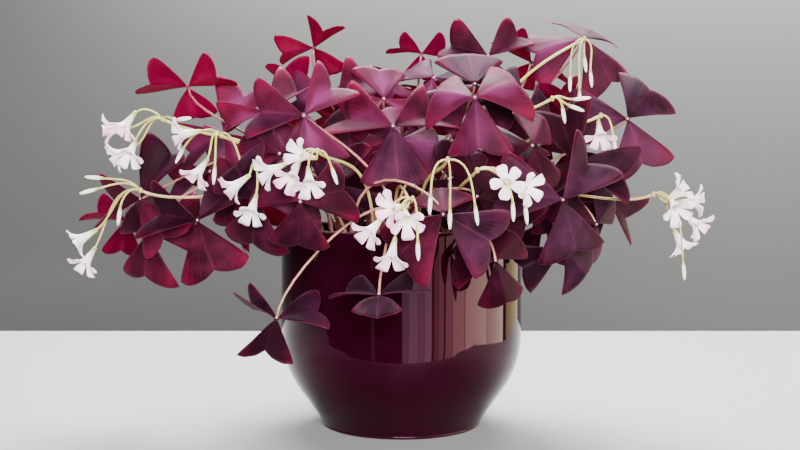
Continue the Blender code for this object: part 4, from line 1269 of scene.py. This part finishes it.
def build_spray(spray, corners, looks):
    """A spray's fine flowers, buds and stalks, which stand for its solid."""
    node = f"spray_{spray.name}"
    petals, greens = Heap(), Heap()
    draw = random.Random(spray.name + " looks")
    hub = Vector(spray.hub)
    greens.add(*tube(corners, FINE_SCAPE_STEPS, scape_radius, FINE_STALK_SIDES), tint=SCAPE_TINT)
    greens.add(*bead(hub, FINE_SPRAY_HUB[0], (UP, FINE_SPRAY_HUB[1])), tint=SPRAY_HUB_TINT)
    for flower in spray.flowers:
        look = facing(flower)
        base = flower_base(flower)
        thin = tube(pedicel_corners(hub, flower), FINE_PEDICEL_STEPS, pedicel_radius, FINE_PEDICEL_SIDES)
        greens.add(*thin, tint=(draw.random(), PEDICEL_RUDDY))
        if flower.is_open:
            flush = draw.random()
            middles = [2 * math.pi * (petal + 0.5) / PETALS for petal in range(PETALS)]
            for point_at in [fine_petal(flower, middle, draw) for middle in middles]:
                points, faces, _, places = sheet(PETAL_ROWS, PETAL_COLUMNS, FINE_PETAL, point_at)
                petals.add(points, faces, 0, places, (flush, draw.random()))
            greens.add(*sepals(base, look, SEPAL_LENGTH, SEPAL_WIDTH), index=1)
            for _ in range(STAMEN_COUNT):
                side = Vector([swing(draw, 1) for _ in range(3)]) * STAMEN_SPREAD
                tip = base + look * (FLOWER_LENGTH * draw.uniform(*STAMEN_REACH)) + side
                greens.add(*bead(tip, STAMEN_BEAD[0], (look, STAMEN_BEAD[1]), COARSE_BEAD_SEGMENTS), index=2)
        else:
            stretch = BUD_LENGTH / 2 / FINE_BUD_RADIUS
            closed = bead(Vector(flower.place), FINE_BUD_RADIUS, (look, stretch), SMOOTH_BEAD_SEGMENTS)
            petals.add(*closed, index=1)
            length, width = SEPAL_LENGTH * BUD_SEPALS[0], SEPAL_WIDTH * BUD_SEPALS[1]
            greens.add(*sepals(base + look * BUD_SEPALS_UP, look, length, width), index=1)
    petals.piece(f"{node}_petals", [looks["petal"], looks["bud"]], "flower", node)
    greens.piece(f"{node}_stalks", [looks["flower_stalk"], looks["sepal"], looks["stamen"]], "flower", node)


def smooth_line(corners, steps):
    """A smooth line through points of a profile."""
    ends = [corners[0] * 2 - corners[1]] + corners + [corners[-1] * 2 - corners[-2]]
    line = []
    for before, start, end, after in zip(ends, ends[1:], ends[2:], ends[3:]):
        for step in range(steps):
            t = step / steps
            bend = (end - before) * t + (before * 2 - start * 5 + end * 4 - after) * t ** 2
            bend += (start * 3 - before - end * 3 + after) * t ** 3
            line.append(start + bend / 2)
    return line + [corners[-1]]


def arc(middle, radius, start, end, steps=8):
    """A quarter or half turn of a profile, its angles in degrees from straight out towards up."""
    turns = [math.radians(start + (end - start) * step / steps) for step in range(steps + 1)]
    return [middle + Vector((math.cos(turn), math.sin(turn))) * radius for turn in turns]


def lathe(profile, sides):
    """A turned shape whose profile starts and ends on the axis."""
    rings = profile[1:-1]
    points = [UP * profile[0][1], UP * profile[-1][1]] + turned_rings(rings, sides)
    faces = bands(len(rings), sides, 2, inward=True)
    last = len(points) - sides
    for side in range(sides):
        after = (side + 1) % sides
        faces += [(0, 2 + side, 2 + after), (1, last + after, last + side)]
    return points, faces


def build_pot(looks):
    """The pot, finely turned, with its shoulder, lip and foot rounded."""
    side = [Vector(corner) for corner in SIDE_CURVE]
    straight = [Vector((POT_RADIUS, height)) for height in STRAIGHT_HEIGHTS]
    inner = [Vector((inner_radius(height), height)) for height in (*reversed(WALL_HEIGHTS), INNER_HEIGHT)]
    lip_middle = Vector((POT_RADIUS - WALL / 2, POT_HEIGHT - WALL / 2))
    lip = arc(lip_middle, WALL / 2, 180.0, 0.0, LIP_STEPS)
    foot = arc(side[-1] - Vector((FOOT_ROUND, 0.0)), FOOT_ROUND, 0.0, -90.0)
    floor = [Vector((0.0, POT_FLOOR)), Vector((inner_radius(POT_FLOOR) - FLOOR_INSET, POT_FLOOR))]
    outline = floor + inner + lip + straight + smooth_line(side, SIDE_STEPS) + foot + [Vector((0.0, 0.0))]
    new_mesh("pot_glazed", *lathe(outline, FINE_POT_SIDES), [looks["glaze"]], "plum_glaze", "pot")


def build_soil(looks):
    """The soil: a loose and crumbly top, and a plain bed under it that narrows inside the pot."""
    heap = Heap()
    points = [Vector((0, 0, soil_height(0)))]
    for ring in range(1, SOIL_RINGS + 1):
        radius = FINE_SOIL_RADIUS * ring / SOIL_RINGS
        for turn in range(SOIL_TURNS):
            place = turned(radius, 2 * math.pi * turn / SOIL_TURNS, 0.0)
            bump = noise.fractal(place * SOIL_WAVES, *SOIL_WAVE_STEPS) * SOIL_RELIEF
            points.append(place + UP * (soil_height(radius) + bump))
    low = len(points)
    for above in points[low - SOIL_TURNS:]:
        points.append(Vector((above.x * SOIL_BED_SHARE, above.y * SOIL_BED_SHARE, SOIL_BED_HEIGHT)))
    faces = [(0, 1 + turn, 1 + (turn + 1) % SOIL_TURNS) for turn in range(SOIL_TURNS)]
    faces += bands(SOIL_RINGS + 1, SOIL_TURNS, 1, inward=True)
    faces.append(tuple(reversed(range(low, low + SOIL_TURNS))))
    heap.add(points, faces)
    draw = random.Random("crumbs")
    for _ in range(CRUMBS):
        radius = (FINE_SOIL_RADIUS - CRUMB_INSET) * math.sqrt(draw.random())
        angle = draw.uniform(0.0, 2 * math.pi)
        size = draw.uniform(*CRUMB_SIZE)
        place = turned(radius, angle, soil_height(radius) + size * CRUMB_RAISED)
        crumb, crumb_faces = bead(Vector((0, 0, 0)), size, segments=COARSE_BEAD_SEGMENTS)
        crumb = [point * (1.0 + CRUMB_ROUGHNESS * noise.noise(point + place)) + place for point in crumb]
        heap.add(crumb, crumb_faces, draw.choice(CRUMB_LOOKS))
    heap.piece("soil_crumbly", [looks["soil_dark"], looks["soil_pale"]], "soil", "soil", smooth=False)


# How a leaf's colour runs. Clouds are in waves a metre. A fade is a range, from its start to its end, and the
# values that it runs between where they aren't 0 and 1
LEAF_CLOUDS = (70.0, 4.0)
CLOUD_ON_SHADE = 1.3
WARMTH_CLOUDS = 25.0
CLOUD_ON_WARMTH = 1.5
WARMTH_FADE = (0.1, 0.9)
PATCH_MIDDLE = 0.45
PATCH_NARROWING = 1.1
PATCH_FADE = (0.2, 0.85, 1.0, 0.0)
PATCH_BY_SHADE = (0.4, 0.95)
PATCH_SHARE = 0.8
RAGGED_CLOUDS = 90.0
RAGGED_SHARE = 0.5
CORNER_FADE = (0.40, 0.95)
CORNER_BY_WARMTH = (0.1, 0.9, 0.25, 0.9)
CORNER_BY_SHADE = (0.0, 0.6, 0.3, 1.0)
VEINS_A_HALF = 6.5
VEIN_CLOUDS = 160.0
VEIN_WANDER = 0.9
VEIN_FADE = (0.0, 0.11, 1.0, 0.0)
VEINS_FROM = (0.05, 0.5)
VEIN_SHARE = 0.55
RIB_FADE = (0.0, 0.05, 1.0, 0.0)
LINES_BY_SHADE = (0.0, 0.7, 0.06, 0.32)
SIDE_EDGE = (0.965, 1.0)
TIP_EDGE = (0.972, 1.0)
EDGE_SHARE = 0.3
GRAIN = (500.0, 2.0)
GRAIN_RELIEF = (0.00012, 0.7)
ROUGHNESS_FADE = (0.3, 0.7)
ROUGHNESS_RANGE = (-0.05, 0.1)
SHEEN_ROUGHNESS = 0.5
SHEEN_COLOUR = (0.80, 0.26, 0.52)
LEAF_GLOSS = 0.05
GLOW_BY_SHADE = (0.0, 0.7, 0.8, 0.35)


class Look:
    """A material under construction, with short calls for its nodes."""

    def __init__(self, name):
        self.material = bpy.data.materials.new(name)
        self.material.use_nodes = True
        self.tree = self.material.node_tree
        self.shader = self.tree.nodes["Principled BSDF"]

    def node(self, kind, inputs=(), **settings):
        """A node with its settings and inputs, where an input is a value or another node's output."""
        made = self.tree.nodes.new(kind)
        for key, value in settings.items():
            setattr(made, key, value)
        for key, value in dict(inputs).items():
            self.put(made.inputs[key], value)
        return made

    def put(self, socket, value):
        """Set a socket to a number or a colour, or link it to an output."""
        if isinstance(value, bpy.types.NodeSocket):
            self.tree.links.new(value, socket)
        else:
            socket.default_value = (*value, 1.0) if isinstance(value, tuple) else value

    def result(self, operation, a, b=0.0, c=0.0):
        """The result of a calculation with numbers."""
        return self.node("ShaderNodeMath", {0: a, 1: b, 2: c}, operation=operation).outputs[0]

    def times(self, a, b):
        """The product of two numbers."""
        return self.result("MULTIPLY", a, b)

    def stirred(self, value, cloud, strength):
        """A value that a cloudy one raises and lowers."""
        return self.result("MULTIPLY_ADD", self.result("SUBTRACT", cloud, 0.5), strength, value)

    def fade(self, value, low, high, start=0.0, end=1.0):
        """A value mapped smoothly from one range to another."""
        inputs = {0: value, 1: low, 2: high, 3: start, 4: end}
        return self.node("ShaderNodeMapRange", inputs, interpolation_type="SMOOTHSTEP").outputs[0]

    def mixed(self, share, a, b):
        """A mix of two colours."""
        return self.node("ShaderNodeMix", {0: share, 6: a, 7: b}, data_type="RGBA").outputs[2]

    def over(self, colour, other, share, strength):
        """A colour with another laid over it, as far as a share and its strength let it."""
        return self.mixed(self.times(share, strength), colour, other)

    def where(self):
        """The point on the object, in metres."""
        return self.node("ShaderNodeTexCoord").outputs["Object"]

    def height(self):
        """The height of the point on the object."""
        return self.node("ShaderNodeSeparateXYZ", {"Vector": self.where()}).outputs[2]

    def speckle(self, scale, detail=3.0, rough=0.5):
        """A cloudy value, its scale in waves a metre."""
        inputs = {"Vector": self.where(), "Scale": scale, "Detail": detail, "Roughness": rough}
        return self.node("ShaderNodeTexNoise", inputs).outputs["Fac"]

    def place(self, layer):
        """The two numbers of a UV layer."""
        read = self.node("ShaderNodeUVMap", uv_map=layer)
        parts = self.node("ShaderNodeSeparateXYZ", {"Vector": read.outputs[0]})
        return parts.outputs[0], parts.outputs[1]

    def bump(self, height, distance, strength):
        """Fine relief, its distance in metres."""
        made = self.node("ShaderNodeBump", {"Height": height, "Distance": distance, "Strength": strength})
        self.put(self.shader.inputs["Normal"], made.outputs[0])

    def finish(self, colour, roughness, **others):
        """Set the shader's colour and roughness, and its other values."""
        for key, value in {"Base Color": colour, "Roughness": roughness, **others}.items():
            self.put(self.shader.inputs[key.replace("_", " ")], value)
        return self

    def let_through(self, colour, share):
        """Add light that comes through from behind, as through a thin leaf or petal."""
        glow = self.node("ShaderNodeBsdfTranslucent", {"Color": colour})
        mix = self.node("ShaderNodeMixShader", {0: share, 1: self.shader.outputs[0], 2: glow.outputs[0]})
        self.put(self.tree.nodes["Material Output"].inputs["Surface"], mix.outputs[0])
        return self


def leaf_look(name, *, cool, warm, patch, corner, vein, edge, glow, glow_share, roughness, sheen):
    """A leaf's face: clouded, with a paler patch by the rib, redder corners, fine veins and an edge.

    cool and warm are each a dark and a light colour, between which the leaf's tint chooses, its shade partly
    painted light and shade.
    """
    look = Look(name)
    across, along = look.place("shape")
    shade, warmth = look.place("tint")
    off_rib = look.result("ABSOLUTE", look.result("MULTIPLY_ADD", across, 2.0, -1.0))

    cloud = look.speckle(*LEAF_CLOUDS)
    depth = look.fade(look.stirred(shade, cloud, CLOUD_ON_SHADE), 0.0, 1.0)
    hue = look.fade(look.stirred(warmth, look.speckle(WARMTH_CLOUDS), CLOUD_ON_WARMTH), *WARMTH_FADE)
    colour = look.mixed(hue, look.mixed(depth, *cool), look.mixed(depth, *warm))

    # The patch is the leaf's own pale blotch by the rib, but only pale leaves show it, so on high leaves it
    # is partly a painted highlight
    off_middle = look.result("ABSOLUTE", look.result("SUBTRACT", along, PATCH_MIDDLE))
    away = look.result("ADD", look.times(off_rib, PATCH_NARROWING), off_middle)
    glare = look.times(look.fade(away, *PATCH_FADE), look.fade(shade, *PATCH_BY_SHADE))
    colour = look.over(colour, patch, glare, PATCH_SHARE)

    ragged = look.times(look.result("SUBTRACT", look.speckle(RAGGED_CLOUDS), 0.5), RAGGED_SHARE)
    outward = look.fade(look.result("MULTIPLY_ADD", off_rib, along, ragged), *CORNER_FADE)
    ruddy = look.times(look.fade(warmth, *CORNER_BY_WARMTH), look.fade(shade, *CORNER_BY_SHADE))
    colour = look.over(colour, corner, outward, ruddy)

    wander = look.times(look.speckle(VEIN_CLOUDS), VEIN_WANDER)
    fan = look.result("PINGPONG", look.result("ADD", look.times(off_rib, VEINS_A_HALF), wander), 0.5)
    vein_line = look.times(look.fade(fan, *VEIN_FADE), look.fade(along, *VEINS_FROM))
    lines = look.result("MAXIMUM", look.fade(off_rib, *RIB_FADE), look.times(vein_line, VEIN_SHARE))
    colour = look.over(colour, vein, lines, look.fade(shade, *LINES_BY_SHADE))

    rim = look.result("MAXIMUM", look.fade(off_rib, *SIDE_EDGE), look.fade(along, *TIP_EDGE))
    colour = look.over(colour, edge, rim, EDGE_SHARE)

    look.bump(look.result("ADD", look.times(lines, -1.0), look.speckle(*GRAIN)), *GRAIN_RELIEF)
    rough = look.fade(cloud, *ROUGHNESS_FADE, *(roughness + step for step in ROUGHNESS_RANGE))
    look.finish(
        colour, rough, Sheen_Weight=sheen, Sheen_Roughness=SHEEN_ROUGHNESS, Sheen_Tint=SHEEN_COLOUR,
        Specular_IOR_Level=LEAF_GLOSS,
    )
    # The light let through takes more of the leaf's own colour on dark leaves, so it follows the painted
    # shade as well
    return look.let_through(look.mixed(look.fade(shade, *GLOW_BY_SHADE), glow, colour), glow_share)


GLAZE_DARK = (0.0074, 0.0002, 0.0020)
GLAZE_LIGHT = (0.0112, 0.0004, 0.0036)
GLAZE_CLOUDS = (28.0, 5.0, 0.6)
GLAZE_CLOUD_FADE = (0.3, 0.75)
GLAZE_LIP = (0.16, 0.055, 0.06)
GLAZE_LIP_SHARE = 0.6
GLAZE_LIP_FADE = ((POT_HEIGHT - LIP_ROUND) * MM, POT_HEIGHT * MM)
GLAZE_FOOT = (0.02, 0.006, 0.01)
GLAZE_FOOT_SHARE = 0.5
GLAZE_FOOT_FADE = (0.0, 0.003, 1.0, 0.0)
GLAZE_WAVES = (22.0, 1.0)
GLAZE_RELIEF = (0.0008, 0.08)
GLAZE_GRAIN = (300.0, 2.0)
GLAZE_ROUGHNESS = (0.3, 0.7, 0.035, 0.06)
GLAZE_IOR = 1.27
GLAZE_MIRROR = (1.0, 0.38, 0.64)


def glaze_look():
    """Deep plum glaze, much lighter and browner over the top of the lip, with a faint ripple."""
    look = Look("glaze")
    height = look.height()
    colour = look.mixed(look.fade(look.speckle(*GLAZE_CLOUDS), *GLAZE_CLOUD_FADE), GLAZE_DARK, GLAZE_LIGHT)
    colour = look.over(colour, GLAZE_LIP, look.fade(height, *GLAZE_LIP_FADE), GLAZE_LIP_SHARE)
    colour = look.over(colour, GLAZE_FOOT, look.fade(height, *GLAZE_FOOT_FADE), GLAZE_FOOT_SHARE)
    look.bump(look.speckle(*GLAZE_WAVES), *GLAZE_RELIEF)
    rough = look.fade(look.speckle(*GLAZE_GRAIN), *GLAZE_ROUGHNESS)
    return look.finish(colour, rough, IOR=GLAZE_IOR, Specular_Tint=GLAZE_MIRROR)


SOIL_CLOUDS = (400.0, 6.0, 0.7)
SOIL_CLOUD_FADE = (0.35, 0.7)
SOIL_GRAIN = (900.0, 4.0, 0.7)
SOIL_GRAIN_RELIEF = (0.0006, 0.9)
SOIL_ROUGHNESS = 0.95


def soil_look(name, dark, light):
    """Crumbly dark peat."""
    look = Look(name)
    colour = look.mixed(look.fade(look.speckle(*SOIL_CLOUDS), *SOIL_CLOUD_FADE), dark, light)
    look.bump(look.speckle(*SOIL_GRAIN), *SOIL_GRAIN_RELIEF)
    return look.finish(colour, SOIL_ROUGHNESS)


STALK_CLOUDS = (45.0, 2.0)
CLOUD_ON_STALK = 1.2
STALK_FADE = (0.1, 0.9)
STALK_FOOT_FADE = (0.13, 0.18)
STALK_GRAIN = (700.0, 2.0)
STALK_RELIEF = (0.0001, 0.5)
STALK_ROUGHNESS = 0.4


def stalk_look(name, pale, deep, glow_share=0.15, foot=None):
    """A juicy stalk: paler or deeper along its length, with fine streaks, and a foot of another colour.

    The foot's colour shows where the second number of the tint is 1, on a scape.
    """
    look = Look(name)
    shade, ruddy = look.place("tint")
    depth = look.stirred(shade, look.speckle(*STALK_CLOUDS), CLOUD_ON_STALK)
    colour = look.mixed(look.fade(depth, *STALK_FADE), pale, deep)
    if foot:
        above = look.fade(look.height(), *STALK_FOOT_FADE)
        colour = look.mixed(look.result("MAXIMUM", above, look.result("SUBTRACT", 1.0, ruddy)), foot, colour)
    look.bump(look.speckle(*STALK_GRAIN), *STALK_RELIEF)
    return look.finish(colour, STALK_ROUGHNESS).let_through(colour, glow_share)


PETAL_WHITE = (1.0, 0.97, 0.98)
PETAL_PINK = (0.98, 0.60, 0.80)
FLUSH_FADE = (0.40, 0.95)
FLUSH_BY_SHADE = (0.1, 0.9, 0.35, 1.0)
THROAT_GREEN = (0.66, 0.70, 0.25)
THROAT_FADE = (0.12, 0.55, 1.0, 0.0)
THROAT_SHARE = 0.75
PETAL_VEIN = (0.78, 0.66, 0.72)
PETAL_VEINS = 7.0
PETAL_VEIN_FADE = (0.0, 0.12, 1.0, 0.0)
PETAL_VEIN_SHARE = 0.18
PETAL_RELIEF = (0.0001, 0.4)
PETAL_ROUGHNESS = 0.5
PETAL_SHEEN = 0.2
PETAL_GLOW = (1.0, 0.90, 0.95)
PETAL_GLOW_SHARE = 0.4


def petal_look():
    """White petals flushed with pale pink, green-yellow down the throat, with faint veins along them."""
    look = Look("petal")
    across, along = look.place("shape")
    shade, _ = look.place("tint")
    flush = look.times(look.fade(along, *FLUSH_FADE), look.fade(shade, *FLUSH_BY_SHADE))
    colour = look.mixed(flush, PETAL_WHITE, PETAL_PINK)
    colour = look.over(colour, THROAT_GREEN, look.fade(along, *THROAT_FADE), THROAT_SHARE)
    vein = look.fade(look.result("PINGPONG", look.times(across, PETAL_VEINS), 0.5), *PETAL_VEIN_FADE)
    colour = look.over(colour, PETAL_VEIN, vein, PETAL_VEIN_SHARE)
    look.bump(look.times(vein, -1.0), *PETAL_RELIEF)
    look.finish(colour, PETAL_ROUGHNESS, Sheen_Weight=PETAL_SHEEN)
    return look.let_through(look.mixed(PETAL_GLOW_SHARE, PETAL_GLOW, colour), PETAL_GLOW_SHARE)


def all_looks():
    """Every material of the plant and its pot, by name."""
    looks = (
        glaze_look(),
        soil_look("soil_dark", (0.010, 0.006, 0.004), (0.045, 0.028, 0.018)),
        soil_look("soil_pale", (0.040, 0.025, 0.016), (0.110, 0.075, 0.050)),
        leaf_look(
            "leaf_upper",
            cool=((0.006, 0.0, 0.0036), (0.068, 0.012, 0.041)),
            warm=((0.016, 0.0, 0.004), (0.098, 0.006, 0.030)),
            patch=(0.20, 0.036, 0.130),
            corner=(0.160, 0.001, 0.026),
            vein=(0.17, 0.040, 0.080),
            edge=(0.19, 0.016, 0.055),
            glow=(0.43, 0.0, 0.055),
            glow_share=0.27,
            roughness=0.58,
            sheen=0.05,
        ),
        leaf_look(
            "leaf_under",
            cool=((0.034, 0.0, 0.010), (0.120, 0.0, 0.030)),
            warm=((0.050, 0.0, 0.009), (0.165, 0.0, 0.026)),
            patch=(0.22, 0.001, 0.06),
            corner=(0.16, 0.0, 0.030),
            vein=(0.08, 0.0, 0.020),
            edge=(0.24, 0.008, 0.06),
            glow=(0.42, 0.0, 0.050),
            glow_share=0.5,
            roughness=0.5,
            sheen=0.03,
        ),
        stalk_look("leaf_stalk", (0.36, 0.15, 0.10), (0.26, 0.06, 0.06)),
        stalk_look("leaf_hub", (0.55, 0.38, 0.36), (0.45, 0.20, 0.24)),
        stalk_look("flower_stalk", (0.46, 0.46, 0.10), (0.42, 0.33, 0.09), foot=(0.34, 0.13, 0.11)),
        stalk_look("sepal", (0.38, 0.44, 0.08), (0.48, 0.46, 0.13), glow_share=0.3),
        stalk_look("bud", (0.90, 0.88, 0.74), (0.90, 0.80, 0.76), glow_share=0.35),
        stalk_look("stamen", (0.80, 0.72, 0.20), (0.70, 0.62, 0.20)),
        petal_look(),
    )
    return {look.material.name: look.material for look in looks}


# The stage: a pale table with a plain grey wall behind it, and the room's dim light. The table and the wall
# each have a low and a high corner, a colour and a roughness
TABLE = ((-0.62, -0.20, -0.03), (0.44, 0.432, 0.0), (0.30, 0.30, 0.30), 0.6)
WALL_PANEL = ((-3.6, 2.60, -2.0), (3.6, 2.63, 3.4), (0.225, 0.224, 0.220), 0.9)
ROOM_GREY = (0.075, 0.075, 0.078, 1.0)

# The soft lights: a bright sky panel above and behind the plant, a panel in front of it, and a light along
# the wall. Each has its place, the point that it faces, its size, its power in watts and its colour
PLANT_MIDDLE = (0.0, 0.0, 0.17)
LIGHTS = (
    ("sky", (0.05, 0.62, 1.15), PLANT_MIDDLE, (0.95, 0.75), 126.0, (0.97, 0.98, 1.0)),
    ("front", (0.1, -1.6, 0.45), PLANT_MIDDLE, (0.9, 0.6), 122.0, (1.0, 1.0, 1.0)),
    ("wall", (0.8, 2.10, 1.25), (0.9, 2.60, 0.62), (3.2, 0.3), 75.0, (1.0, 1.0, 1.0)),
)

# Panels that only show mirrored in the glaze: the angles that they span round the pot, from straight in
# front towards the right, their distance, their brightness and their colour
MIRRORED = (
    ("violet_strip_1", (-27.0, -24.0), 1.0, 1.1, (0.80, 1.00, 1.0)),
    ("violet_strip_2", (0.5, 6.0), 1.0, 4.4, (0.78, 1.08, 1.0)),
    ("violet_strip_3", (6.2, 14.5), 1.0, 6.6, (0.80, 1.12, 1.0)),
    ("violet_strip_4", (14.8, 20.5), 1.0, 5.2, (0.80, 1.08, 1.0)),
    ("violet_strip_5", (20.7, 27.0), 1.0, 7.4, (0.80, 1.12, 1.0)),
    ("brown_strip_1", (29.0, 32.6), 0.9, 3.6, (1.0, 0.90, 0.56)),
    ("brown_strip_2", (33.0, 38.0), 0.9, 5.6, (1.0, 0.92, 0.60)),
    ("rose_panel_1", (39.5, 46.0), 0.85, 6.6, (1.0, 0.98, 0.72)),
    ("rose_panel_2", (46.4, 58.0), 0.85, 10.2, (1.0, 1.08, 0.72)),
    ("tan_panel_1", (58.3, 82.0), 0.75, 14.5, (1.0, 1.14, 0.70)),
    ("tan_panel_2", (82.2, 106.0), 0.75, 10.4, (1.0, 0.96, 0.68)),
    ("straw_strip", (110.0, 138.0), 0.6, 2.7, (1.0, 0.84, 0.42)),
)
MIRRORED_LOW = -0.60
MIRRORED_HIGH = 0.35

# The camera: its place, its tilt from level in degrees, and its lens and sensor in millimetres
CAMERA_PLACE = (-0.001, -0.810, 0.178)
CAMERA_TILT = -3.16
CAMERA_LENS = 54.6
CAMERA_SENSOR = 36.0


def stage_box(name, low, high, colour, roughness):
    """A plain slab of the stage."""
    work = bmesh.new()
    bmesh.ops.create_cube(work, size=1.0)
    low, high = Vector(low), Vector(high)
    for vert in work.verts:
        vert.co = vert.co * (high - low) + (low + high) / 2
    mesh = bpy.data.meshes.new(name)
    work.to_mesh(mesh)
    work.free()
    mesh.materials.append(Look(name).finish(colour, roughness).material)
    slab = linked(name, mesh)


def area_light(name, place, aim, size, power, colour):
    """A soft light that faces a point."""
    lamp = bpy.data.lights.new(name, "AREA")
    lamp.shape = "RECTANGLE"
    lamp.size, lamp.size_y = size
    lamp.energy = power
    lamp.color = colour
    light = linked(name, lamp)
    light.location = place
    light.rotation_euler = (Vector(aim) - Vector(place)).to_track_quat("-Z", "Y").to_euler()
    light.visible_camera = False
    return light


def mirrored_panel(name, span, distance, brightness, colour):
    """An upright light that faces the pot's axis and only shows in gloss."""
    start, end = span
    angle = math.radians((start + end) / 2)
    middle = (MIRRORED_LOW + MIRRORED_HIGH) / 2
    place = Vector((math.sin(angle) * distance, -math.cos(angle) * distance, middle))
    width = 2 * distance * math.tan(math.radians(end - start) / 2)
    height = MIRRORED_HIGH - MIRRORED_LOW
    power = brightness * math.pi * width * height
    panel = area_light(name, place, (0.0, 0.0, middle), (width, height), power, colour)
    panel.visible_diffuse = False
    panel.visible_transmission = False


def build_stage():
    """The table, the wall, the room's dim light, the lights and the camera."""
    stage_box("table", *TABLE)
    stage_box("wall", *WALL_PANEL)
    world = bpy.data.worlds.new("dim room")
    world.use_nodes = True
    world.node_tree.nodes["Background"].inputs["Color"].default_value = ROOM_GREY
    bpy.context.scene.world = world
    for light in LIGHTS:
        area_light(*light)
    for panel in MIRRORED:
        mirrored_panel(*panel)
    camera = linked("camera", bpy.data.cameras.new("camera"))
    camera.data.lens = CAMERA_LENS
    camera.data.sensor_width = CAMERA_SENSOR
    camera.location = CAMERA_PLACE
    camera.rotation_euler = (math.radians(90.0 + CAMERA_TILT), 0.0, 0.0)
    bpy.context.scene.camera = camera


def main():
    """Dress the frame."""
    build_stage()
    looks = all_looks()
    build_pot(looks)
    build_soil(looks)
    sprays, clumps = arrange()
    for number, spot in enumerate(sorted(clumps), start=1):
        build_clump(number, spot, clumps[spot], looks)
    for spray, _, corners in sprays:
        build_spray(spray, corners, looks)


main()
